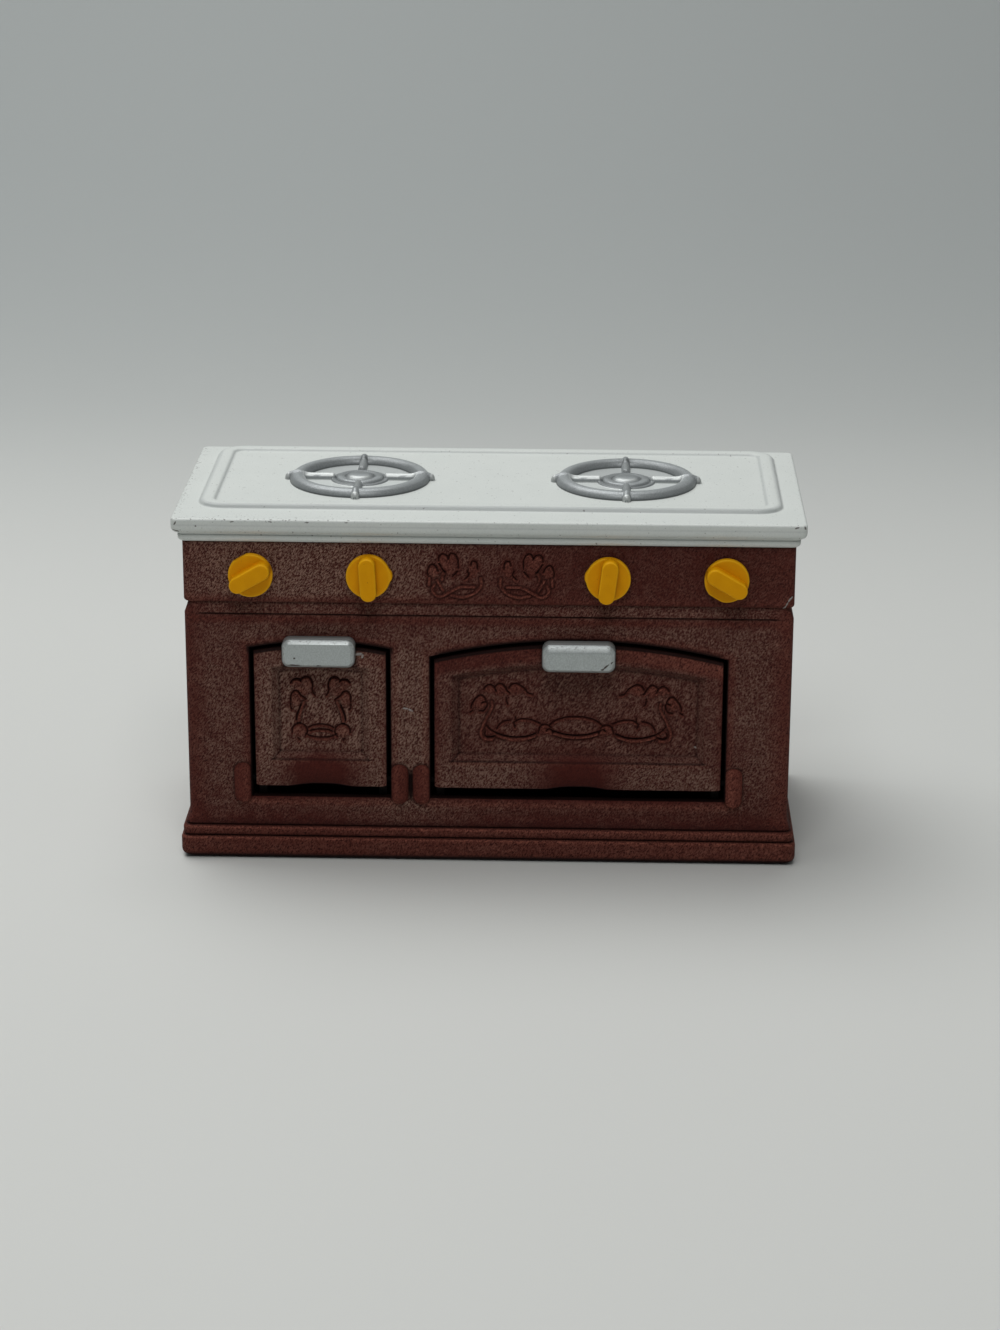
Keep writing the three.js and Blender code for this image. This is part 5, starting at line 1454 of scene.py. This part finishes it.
def door_rows(way, x):
    """Heights of the door's rows over each column: level up to the ornament's foot, close
    together over the ornament, and bending more and more to follow the arch."""
    foot, low = way.foot, CARVED[way.side][2]
    straight = stops((foot + EDGE_HOLD, foot + BOTTOM_RAIL, 0.4),
                     (foot + BOTTOM_RAIL, foot + BOTTOM_RAIL + BEVEL, STEEP),
                     (foot + BOTTOM_RAIL + BEVEL, low, 0.5))
    edges = [TOP_RAIL + BEVEL, TOP_RAIL, EDGE_HOLD]
    lines = [low] + [way.arch(x, DOOR_GAP + inset) for inset in edges]
    counts = [int((way.peak - edges[0] - low) / FINE), 9, 13]
    rows = [np.full(len(x), z) for z in straight]
    for line, above, count in zip(lines, lines[1:], counts):
        rows += [line + (above - line) * t for t in np.linspace(0, 1, count)[1:]]
    rows = np.stack(rows)
    return rows + foot_lift(way, x) * clamp(1 - (rows - foot - EDGE_HOLD) / 3)


def recess_gaps(way, x, z):
    """Distances from the recess's rim: from its left, right, lower and upper side, positive
    inside the recess."""
    left, right = way.left + DOOR_GAP + STILE, way.right - DOOR_GAP - STILE
    top = way.arch(np.clip(x, way.left, way.right), DOOR_GAP + TOP_RAIL)
    return np.stack([x - left, right - x, z - way.foot - BOTTOM_RAIL, top - z])


def recess_share(way, x, z):
    """0 on the frame, 1 on the recess's floor, and a straight slope on the bevel between: the
    distance from the recess's rim, over the bevel's width."""
    return clamp(recess_gaps(way, x, z).min(0) / BEVEL)


def scoop_share(way, x, z):
    """The scoop: 1 at the door's foot in the middle, and falling smoothly to 0 at its sides
    and top, as (1 - across^2)^2 * (1 - up)^1.6."""
    across = clamp(np.abs(x - way.middle) / SCOOP_HALF)
    up = clamp((z - way.foot) / SCOOP_HIGH)
    return (1 - across ** 2) ** 2 * (1 - up) ** 1.6


def door_depth(way, x, z):
    """How far the front lies behind the frame's face: recess, scoop and carving together."""
    return (SINK * recess_share(way, x, z) + SCOOP_SINK * scoop_share(way, x, z)
            + DOOR_CARVING[way.side].depth(x, z))


print("columns of the doors' fronts:", [len(door_columns(way)) for way in WAYS])

# %% [markdown]
# Round the front runs the door's edge. It leaves the front a little inside the outline, turns
# back on a quarter circle and runs to the inner face. Its lower side rolls under on a quarter
# circle, the heel, which lets the door turn without touching the sill. The back is one flat
# fan.


# %% The doors' shapes
def border(surface):
    """The grid's border points, anticlockwise from the lower left."""
    return np.concatenate([surface[0], surface[1:, -1], surface[-1, -2::-1],
                           surface[-2:0:-1, 0]])


def door_shape(way):
    """A whole door: front grid, rounded edge, sides with the rolled heel, and back. Each point
    of the edge keeps its shares u of the width and v of the height from ring to ring."""
    x = door_columns(way)
    z = door_rows(way, x)
    x = np.broadcast_to(x, z.shape)
    front = upright(x, FRONT + door_depth(way, x, z), z)
    rim = border(front)
    left, right = way.left + DOOR_GAP, way.right - DOOR_GAP
    u = (rim[:, 0] - left - EDGE_HOLD) / (right - left - 2 * EDGE_HOLD)
    top_at = way.arch(np.clip(rim[:, 0], left, right), DOOR_GAP + EDGE_HOLD)
    base_at = way.foot + EDGE_HOLD + foot_lift(way, rim[:, 0])
    v = (rim[:, 2] - base_at) / (top_at - base_at)

    def ring(inset, depth, foot):
        """One turn round the door at a depth, drawn in by inset, with its lower side at foot."""
        across = left + inset + u * (right - left - 2 * inset)
        top = way.arch(across, DOOR_GAP + inset)
        base = foot + inset + foot_lift(way, across)
        return upright(across, FRONT + depth, base + v * (top - base))

    sunk = (rim[:, 1] - FRONT) * (v < 0.5)
    rings = [rim]
    for turn in quarter(6):
        depth = np.maximum(DOOR_SOFT - DOOR_SOFT * np.cos(turn), sunk)
        rings.append(ring(DOOR_SOFT - DOOR_SOFT * np.sin(turn), depth, way.foot))
    for turn in quarter(7):
        rise = HEEL - HEEL * np.cos(turn)
        rings.append(ring(0, PIVOT_DEEP + HEEL * np.sin(turn), way.foot + rise))
    rings.append(ring(0, DOOR_DEEP, way.foot + HEEL))
    middle = [way.middle, FRONT + DOOR_DEEP, (way.foot + way.peak) / 2]
    rings.append(np.broadcast_to(middle, rim.shape))
    return Shape().grid(front).grid(np.stack(rings), closed=True)


print("rows of the doors' fronts:", [len(door_rows(way, door_columns(way))) for way in WAYS])

# %% [markdown]
# The marks of a door are rules of distance too: from the recess's rim, from the door's own
# edge, from the ornament's lines, and from the scoop's foot. The two doors were sprayed
# unevenly, so three numbers tell them apart.


# %% Make the doors
def recess_marks(way, x, z):
    """Where the recess has painted shade and a painted highlight: shade along the lower rim, in
    the mitres of its lower corners, softly along the floor's edge and on the left and upper
    bevels, and a highlight on the frame just below the rim."""
    gaps = recess_gaps(way, x, z)
    nearest, side = gaps.min(0), gaps[:2].min(0)
    bevel = clamp((nearest + 0.2) * (BEVEL + 0.2 - nearest) * 2)
    within = side > -0.2
    rim = bell(gaps[2] - 0.06, 0.17) * within
    mitre = bell(side - gaps[2], 0.17) * bevel
    floor_edge = bell(nearest - BEVEL, 0.28) * (nearest > 0)
    left = bevel * (gaps[0] < gaps[2]) * (gaps[0] < 3)
    top = bevel * (gaps[3] < BEVEL)
    # Painted shade on the rim, the mitres, the floor's edge and the bevels.
    dark = 0.85 * rim + 0.8 * mitre + 0.38 * floor_edge + 0.16 * left + 0.16 * top
    return dark, bell(gaps[2] + 0.5, 0.3) * within


def door_marks(way):
    """Dust on the frame and the recess. It is thin on the top rail, the edges and the back, and
    missing in the scoop and the carving. The scoop is smooth, and the top rail and the edges
    are rubbed, the top rail lighter as a painted highlight. Painted highlights also lie on the
    carving's ridges and just below the recess's lower rim. Painted shade lies in the carving,
    round the recess, at the scoop's foot, on the door's edge and sides, and as a painted
    shadow under the handle."""
    sprayed, rail_rub_and_highlight, dusty_foot = (1.05, 0.35, 0) if way.side == "left" else (0.6, 1, 0.35)

    def rule(x, y, z):
        front, back = y < FRONT + 2, y > FRONT + DOOR_DEEP - 0.05
        dark, rub, bare = DOOR_CARVING[way.side].marks(x, z)
        around = DOOR_CARVING[way.side].halo(x, z)
        recess_shade, recess_highlight = recess_marks(way, x, z)
        across, up = np.abs(x - way.middle) / 8.0, np.clip(z - way.foot, 0, None)
        scoop = np.exp(-across ** 2) * clamp((9.8 - up) / 5.2)
        to_top = way.arch(np.clip(x, way.left, way.right), DOOR_GAP) - z
        side = np.minimum(x - way.left, way.right - x) - DOOR_GAP
        # The top rail: rubbed, and lighter as a painted highlight, more towards the right.
        rail = rail_rub_and_highlight * clamp((TOP_RAIL - to_top) / 1.2)
        lean = 0.35 + 0.3 * np.clip((x - way.middle) / 25, -1, 1)
        dust = clamp(1 - 1.1 * scoop) * (1 - 0.6 * rail)
        dust *= 0.5 + 0.5 * clamp(side / 1.7)
        dust *= 1 + dusty_foot * clamp((6.4 - up) / 1.2)
        to_edge = np.minimum(side, z - way.foot - foot_lift(way, x))
        rim = clamp((0.2 - to_edge) / 0.15) + clamp((0.8 - to_top) / 0.25)
        # Painted shade at the scoop's foot.
        deep = 0.72 * scoop * np.exp(-up / 2.2)
        # Painted shadow of the handle on the door below it.
        low, high = span("handle_" + way.side)
        below = clamp(np.minimum(x - low[0], high[0] - x) / 0.5 + 1)
        shade = 0.6 * below * bell(np.clip(low[2] - 1.1 - z, 0, None), 0.55)
        sprayed_on = sprayed * dust * (1 - 0.9 * bare * front) * (1 - 0.35 * around * front)
        # Painted shade on the door's edge and on its sides.
        edge_shade = np.clip(rim, 0, 0.95) + 0.7 * clamp((y - FRONT - 1.9) / 0.5)
        return {
            "spray": np.where(back, 0.3, sprayed_on),
            "smooth": np.where(back, 0.3, 0.65 * scoop),
            "rub": front * (rub + 0.1 * around + 0.45 * recess_highlight * (1 - scoop) + 0.06 * scoop)
            + lean * rail + 0.15 * (1 - clamp(side / 1.7)),
            "line": front * (dark + recess_shade * (1 - 0.4 * scoop) + deep + shade)
            + np.where(back, 0.15, edge_shade)}
    return rule


for way in WAYS:
    make_part("oven_door_" + way.side, door_shape(way), "door_" + way.side, BROWN,
              "door_" + way.side, door_marks(way))

# %% [markdown]
# ## Handles and knobs
#
# A handle is a silver block with rounded corners over the door's top edge. Its rings are
# rounded rectangles seen from the front. Towards the face they shrink by a flattened quarter
# circle, (1 - cos^1.8, 1 - sin^1.8), which is nearly a bevel. The photograph shows the two
# blocks unlike each other, so a small class holds what sets each apart.

# %% Make the handles
HANDLE_CORNER, HANDLE_ROUND, HANDLE_FLAT, HANDLE_REST = 1.6, 0.85, 1.8, 0.4


class Block:
    """How one handle differs from its CAD block, in millimetres: taller at the top by rise and
    at the foot by drop, and thinner. The upper bevel is slope times as wide as the side ones,
    and the pad that carries the block is as high as pad, less half a millimetre at each end."""

    def __init__(self, rise, drop, thinner, slope, pad):
        self.rise, self.drop, self.thinner, self.slope, self.pad = rise, drop, thinner, slope, pad


BLOCKS = {"left": Block(0.35, 0.25, 0.5, 1.0, 3.4), "right": Block(0, 0.5, 0, 1.75, 4.2)}


def rounded_rectangle(x0, x1, z0, z1, corner, y):
    """A rounded rectangle in the plane at depth y, anticlockwise as seen from the front."""
    spots = [(x1 - corner, z1 - corner, 0), (x0 + corner, z1 - corner, 90),
             (x0 + corner, z0 + corner, 180), (x1 - corner, z0 + corner, 270)]
    x, z = np.hstack([[a + corner * np.cos(quarter(8) + np.radians(start)),
                       b + corner * np.sin(quarter(8) + np.radians(start))]
                      for a, b, start in spots])
    return upright(x, y, z)


def handle_shape(side):
    """The block, closed at both ends, and the pad that carries it off the door."""
    low, high = span("handle_" + side)
    block = BLOCKS[side]
    x0, x1, z0, z1 = low[0], high[0], low[2] - block.drop, high[2] + block.rise
    face, behind = low[1] + block.thinner, FRONT - HANDLE_REST

    def ring(inset, y):
        """One turn round the block at depth y, drawn in by inset."""
        return rounded_rectangle(x0 + inset, x1 - inset, z0 + 0.8 * inset,
                                 z1 - block.slope * inset, HANDLE_CORNER - inset, y)

    rings = [ring(0.45, behind), ring(0.12, behind - 0.12), ring(0, behind - 0.45),
             ring(0, face + HANDLE_ROUND + 0.35)]
    for turn in quarter(8):
        inset = HANDLE_ROUND * (1 - np.cos(turn) ** HANDLE_FLAT)
        rings.append(ring(inset, face + HANDLE_ROUND * (1 - np.sin(turn) ** HANDLE_FLAT)))
    rings.append(ring(HANDLE_ROUND + 0.25, face))
    x, z = (x0 + x1) / 2, (z0 + z1) / 2
    back, front = (np.broadcast_to([x, y, z], rings[0].shape) for y in (behind, face))
    pad = column(x0 + 2, x1 - 2, FRONT - 1, FRONT + 0.05, low[2] + 0.5, low[2] + block.pad - 0.5)
    return Shape().grid(np.stack([back] + rings + [front]), closed=True).grid(pad, closed=True)


def handle_marks(side):
    """The bevel, where the silver rubs off and is lightened as a painted highlight, painted shade
    along the line where the bevel ends, which outlines the block, and painted shade on the foot
    behind it."""
    face = span("handle_" + side)[0][1] + BLOCKS[side].thinner

    def rule(x, y, z):
        # Painted shade along the line where the bevel ends and on the foot behind the block.
        outline = clamp((y - face - HANDLE_ROUND + 0.27) / 0.2) * (y < face + 1)
        foot = clamp((y - FRONT + 1.4) / 0.6)
        return {"edge": clamp(1.2 - np.abs(y - face - 0.4) / 0.5),
                "crease": 0.75 * outline + 0.8 * foot}
    return rule


BRIGHT_SILVER = (0.46, 0.5, 0.495, 1)
HANDLE_CHIPS = [(-39.87, 45.57, 0, 0.25, 0.22), (-40.1, 44.1, 0, 1.4, 0.2),
                (-34.9, 44, 0, 0.6, 0.18), (23.68, 44.1, 0, 0.4, 0.2),
                (24.4, 44.75, 42, 0.8, 0.2), (25.6, 45.6, 50, 0.35, 0.18)]
HANDLE_SILVER = silver_finish("silver_handles", BRIGHT_SILVER, 0.35, 0.3, HANDLE_CHIPS)
for way in WAYS:
    make_part("handle_block_" + way.side, handle_shape(way.side), "door_" + way.side,
              HANDLE_SILVER, "handle_" + way.side, handle_marks(way.side))

# %% [markdown]
# A knob is a thick disc with a rounded grip bar across it. Each disc has the mark that the
# mould left: a flat or a low bulge at one side. Apart from that all four are the same, each
# turned to its own angle. The turn is in degrees, clockwise as seen from the front.

# %% Make the knobs
KNOB_RADIUS, DISC, DISC_EDGE, KNOB_GAP = 4.6, 1.4, 0.35, 0.3
BAR_HALF, BAR_HIGH, BAR_EDGE = 1.75, 2.7, 0.35
SHAFT, SHAFT_NECK = 1.5, 1.1
KNOBS = [(60, -0.3), (177, 0.4), (7, 0.3), (-60, -0.3)]


def gate_mark(angle, radius, gate):
    """The disc's outline near its mould mark, on the -x side. A negative gate cuts the rim
    flat, and a positive one lets a low bulge stand out of it."""
    across, up = radius * np.cos(angle), radius * np.sin(angle)
    if gate < 0:
        return np.maximum(across, -KNOB_RADIUS - gate), up
    bulge = gate * np.exp(-(up / 1.1) ** 4) * (across < 0) * radius / KNOB_RADIUS
    return across - bulge, up


def knob_shape(number, turn, gate):
    """Disc, grip bar and shaft, first upright at the origin, then turned clockwise."""
    angle = np.arange(96) / 96 * 2 * np.pi
    soft = [(DISC_EDGE * (1 - np.cos(t)), DISC_EDGE * (1 - np.sin(t))) for t in quarter(6)]
    profile = [(0, 0), (KNOB_RADIUS - 0.2, 0), (KNOB_RADIUS, -0.2)]
    profile += [(KNOB_RADIUS - inset, -DISC + drop) for inset, drop in soft]
    profile += [(radius, -DISC) for radius in np.linspace(KNOB_RADIUS - 0.6, 0, 17)]
    disc = []
    for radius, y in profile:
        across, up = gate_mark(angle, radius, gate)
        disc.append(upright(across, y, up))
    crown = [(0, -0.5), (0, -DISC), (0.02, -DISC - 0.4), (0.05, -DISC - 1.3)]
    crown += [(0.05 + BAR_EDGE * (1 - np.cos(t)), -DISC - BAR_HIGH + BAR_EDGE * (1 - np.sin(t)))
              for t in np.radians(np.linspace(8, 90, 7))]
    bar = []
    for inset, y in crown + [(BAR_HALF, -DISC - BAR_HIGH)]:
        across, up = capsule(BAR_HALF - inset, KNOB_RADIUS - BAR_HALF, 48)
        bar.append(upright(across, y, up))
    shaft = tube((0, 0, 0), 1, [
        (0, -0.5), (SHAFT, -0.5), (SHAFT, 3.4), (SHAFT_NECK, 3.4), (SHAFT_NECK, 4.4),
        (SHAFT, 4.4), (SHAFT, 5.4), (0, 5.4)])
    c, s = np.cos(np.radians(turn)), np.sin(np.radians(turn))
    spin = np.array([[c, 0, s], [0, 1, 0], [-s, 0, c]])
    x, z = centre(f"knob_clip_{number}")[::2]
    shape = Shape()
    for surface in (np.stack(disc), np.stack(bar), shaft):
        shape.grid(surface @ spin.T + [x, FRONT - KNOB_GAP, z], closed=True)
    return shape


def knob_marks(number, turn):
    """The disc's rim and the bar's edges get a painted highlight, and the corner round the bar gets
    painted shade, most on one side. The distance from the bar's outline is that from its
    middle line, less its half width."""
    middle_x, middle_z = centre(f"knob_clip_{number}")[::2]
    c, s = np.cos(np.radians(turn)), np.sin(np.radians(turn))

    def rule(x, y, z):
        x, z, out = x - middle_x, z - middle_z, FRONT - KNOB_GAP - y
        across, along = c * x - s * z, s * x + c * z
        beyond = np.clip(np.abs(along) - KNOB_RADIUS + BAR_HALF, 0, None)
        gap = np.hypot(across, beyond) - BAR_HALF
        on_disc, on_bar = out < DISC + 0.05, out > DISC + BAR_HIGH - 0.6
        # Painted highlight on the disc's rim and the bar's edges.
        rim = bell(np.hypot(x, z) - KNOB_RADIUS + 0.12, 0.2) * (out > DISC - 0.5) * on_disc
        # Painted shade in the corner round the bar, heavier on one side.
        below = clamp(0.4 + 0.6 * s * np.sign(across))
        corner = below * bell(np.clip(gap, 0, None), 0.36) * (out < DISC + 0.6)
        return {"pale": rim * (gap > 0.2) + bell(gap + 0.12, 0.16) * on_bar, "crease": corner}
    return rule


for number, (turn, gate) in enumerate(KNOBS, 1):
    make_part(f"knob_grip_{number}", knob_shape(number, turn, gate), f"knob_{number}",
              YELLOW, f"knob_{number}", knob_marks(number, turn), sharp=40)

# %% [markdown]
# ## Parts that stay as they are
#
# The oven boxes, the back panel, pins, clips, washers and screws are seen only through a gap,
# from behind or with a door open. Their CAD shapes are right, so they stay and only get
# materials. The oven boxes are dark inside, which is also why the gaps round the doors look
# black. A flat CAD face has no marks, so the back panel's finish carries its own even dust.


# %% Finishes for the carried-over parts
def steel_finish():
    """Bright steel with fine upright scratches, slightly uneven in its shine."""
    steel = Finish("steel_plain", Specular_IOR_Level=0.5)
    clouds = steel.noise(1.5, steel.place())
    scratches = steel.noise(0.25, steel.place(stretch=(1, 1, 0.1)))
    tone = steel.mix(clouds * 0.6, (0.5, 0.5, 0.51, 1), (0.34, 0.34, 0.345, 1))
    return steel.paint(Base_Color=tone, Metallic=0.92, Roughness=0.28 + scratches * 0.2,
                       Normal=steel.bump(scratches, 0.008))


def oven_finish():
    """Dark moulded plastic, a little paler in clouds, with a fine grain."""
    oven = Finish("oven_dark", Specular_IOR_Level=0.3)
    spot = oven.place()
    clouds = oven.noise(6, spot, 3)
    grain = oven.noise(0.35, spot)
    tone = oven.mix(oven.ramp(clouds, 0.35, 0.7), (0.012, 0.007, 0.0065, 1),
                    (0.03, 0.018, 0.016, 1))
    return oven.paint(Base_Color=tone, Roughness=0.6 + grain * 0.15,
                      Normal=oven.bump(grain, 0.04))


def back_finish():
    """The brown skin without marks: maroon with a thin, nearly even dust."""
    brown = Finish("brown_back", Specular_IOR_Level=0.1)
    slanted, plain = brown.place(STROKE_TURN, STROKE_STRETCH), brown.place()
    pebbles = brown.noise(PEBBLE_SIZE, slanted, 3, 0.6)
    grain, clouds = brown.noise(GRAIN_SIZE, plain), brown.noise(9, plain)
    raised = brown.ramp(pebbles * 0.62 + grain * 0.38, 0.42, 0.59)
    dust = (0.26 + brown.ramp(clouds, 0.25, 0.75) * 0.14) * (raised * 0.9 + 0.1)
    pits = 1 - brown.ramp(pebbles, 0.36, 0.48)
    body = brown.mix(dust, MAROON, TAN)
    return brown.paint(Base_Color=brown.mix(pits * 0.55, body, SHADE),
                       Roughness=0.6 + raised * 0.06,
                       Normal=brown.bump(raised + grain * 0.3, 0.05))


def pin_finish():
    """Blackened steel: nearly black and dull."""
    pin = Finish("steel_blackened", Specular_IOR_Level=0.02)
    clouds = pin.noise(0.8, pin.place())
    tone = pin.mix(clouds, (0.003, 0.0025, 0.0025, 1), (0.006, 0.005, 0.005, 1))
    return pin.paint(Base_Color=tone, Roughness=0.7 + clouds * 0.2,
                     Normal=pin.bump(clouds, 0.02))


STEEL, OVEN, BACK_BROWN, PIN = steel_finish(), oven_finish(), back_finish(), pin_finish()
KEPT = {"oven_box": OVEN, "back_panel": BACK_BROWN, "hinge_pin": PIN}
kept = [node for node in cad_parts.values() if not node.hide_render]
for node in kept:
    finish = next((KEPT[key] for key in KEPT if node.name.startswith(key)), STEEL)
    node.data.materials.clear()
    node.data.materials.append(finish)
print("kept CAD parts:", len(kept))

# %% [markdown]
# ## The studio
#
# The photograph was taken in a plain light box: a pale floor that sweeps up into a backdrop
# without a horizon, a broad soft light from above, and weaker light from the front. The sweep
# is a profile carried sideways: flat, a long quarter circle, and straight up.

# %% Floor and backdrop
# The backdrop's paper is darker than the floor's: painted shade as the sweep goes back and up.
FLOOR_PAPER, SHADED_BACK_PAPER = (0.62, 0.63, 0.608, 1), (0.365, 0.388, 0.384, 1)
DULL_PAPER = (0.5, 0.5, 0.48, 1)


def sweep_surface(near, far, radius, high, half):
    """The sweep: y from near to far on the floor, a quarter circle up, and straight to high."""
    turn = quarter(33)
    flat = np.linspace(near, far, 9)[:-1]
    y = np.concatenate([flat, far + radius * np.sin(turn), [far + radius]])
    z = np.concatenate([np.zeros(len(flat)), radius - radius * np.cos(turn), [high]])
    x, y = np.meshgrid(np.linspace(-half, half, 5), y)
    return upright(x, y, np.broadcast_to(z[:, None], x.shape))


def paper_finish():
    """Pale paper: nearly white on the floor, and greyer with painted shade as it goes back and up.
    """
    paper = Finish("paper", Specular_IOR_Level=0.2)
    spot = paper.place()
    depth = paper.node("ShaderNodeSeparateXYZ", {}, {0: spot}, 1)
    clouds = paper.noise(160, spot)
    tone = paper.mix(paper.ramp(depth, 0.1, 0.55), FLOOR_PAPER, SHADED_BACK_PAPER)
    return paper.paint(Base_Color=paper.mix(clouds * 0.06, tone, DULL_PAPER),
                       Roughness=0.7, Normal=paper.bump(paper.noise(3, spot), 0.02))


sweep_shape = Shape().grid(sweep_surface(near=-1600, far=350, radius=350, high=1500, half=1800))
sweep = add_object("paper_sweep", mesh_of("paper_sweep", sweep_shape, sharp=60))
sweep.data.materials.append(paper_finish())
print("sweep faces:", len(sweep.data.polygons))

# %% [markdown]
# An area light is a glowing square, and the larger it is, the softer its shadows are. The
# overhead one stands left of the middle and a little behind the stove, so its shadow falls to
# the right and forwards. The world adds a weak light from all sides.


# %% Lights
def soft_light(name, place, target, size, power):
    """A square area light that looks at a target."""
    lamp = bpy.data.lights.new(name, "AREA")
    lamp.shape, lamp.size, lamp.energy = "SQUARE", size, power
    light = add_object(name, lamp)
    light.location = place
    aim = Vector(target) - Vector(place)
    light.rotation_euler = aim.to_track_quat("-Z", "Y").to_euler()


soft_light("overhead", place=(-0.26, 0.25, 0.89), target=(0, 0, 0.03), size=0.8, power=6.9)
soft_light("front_strip", place=(0, -0.5, 0.8), target=(0, 0, 0.04), size=0.4, power=2.5)
world = bpy.data.worlds.new("studio")
world.use_nodes = True
background = world.node_tree.nodes["Background"]
background.inputs["Color"].default_value = (0.98, 1.0, 1.0, 1)
background.inputs["Strength"].default_value = 0.14
bpy.context.scene.world = world
print("lights ready")
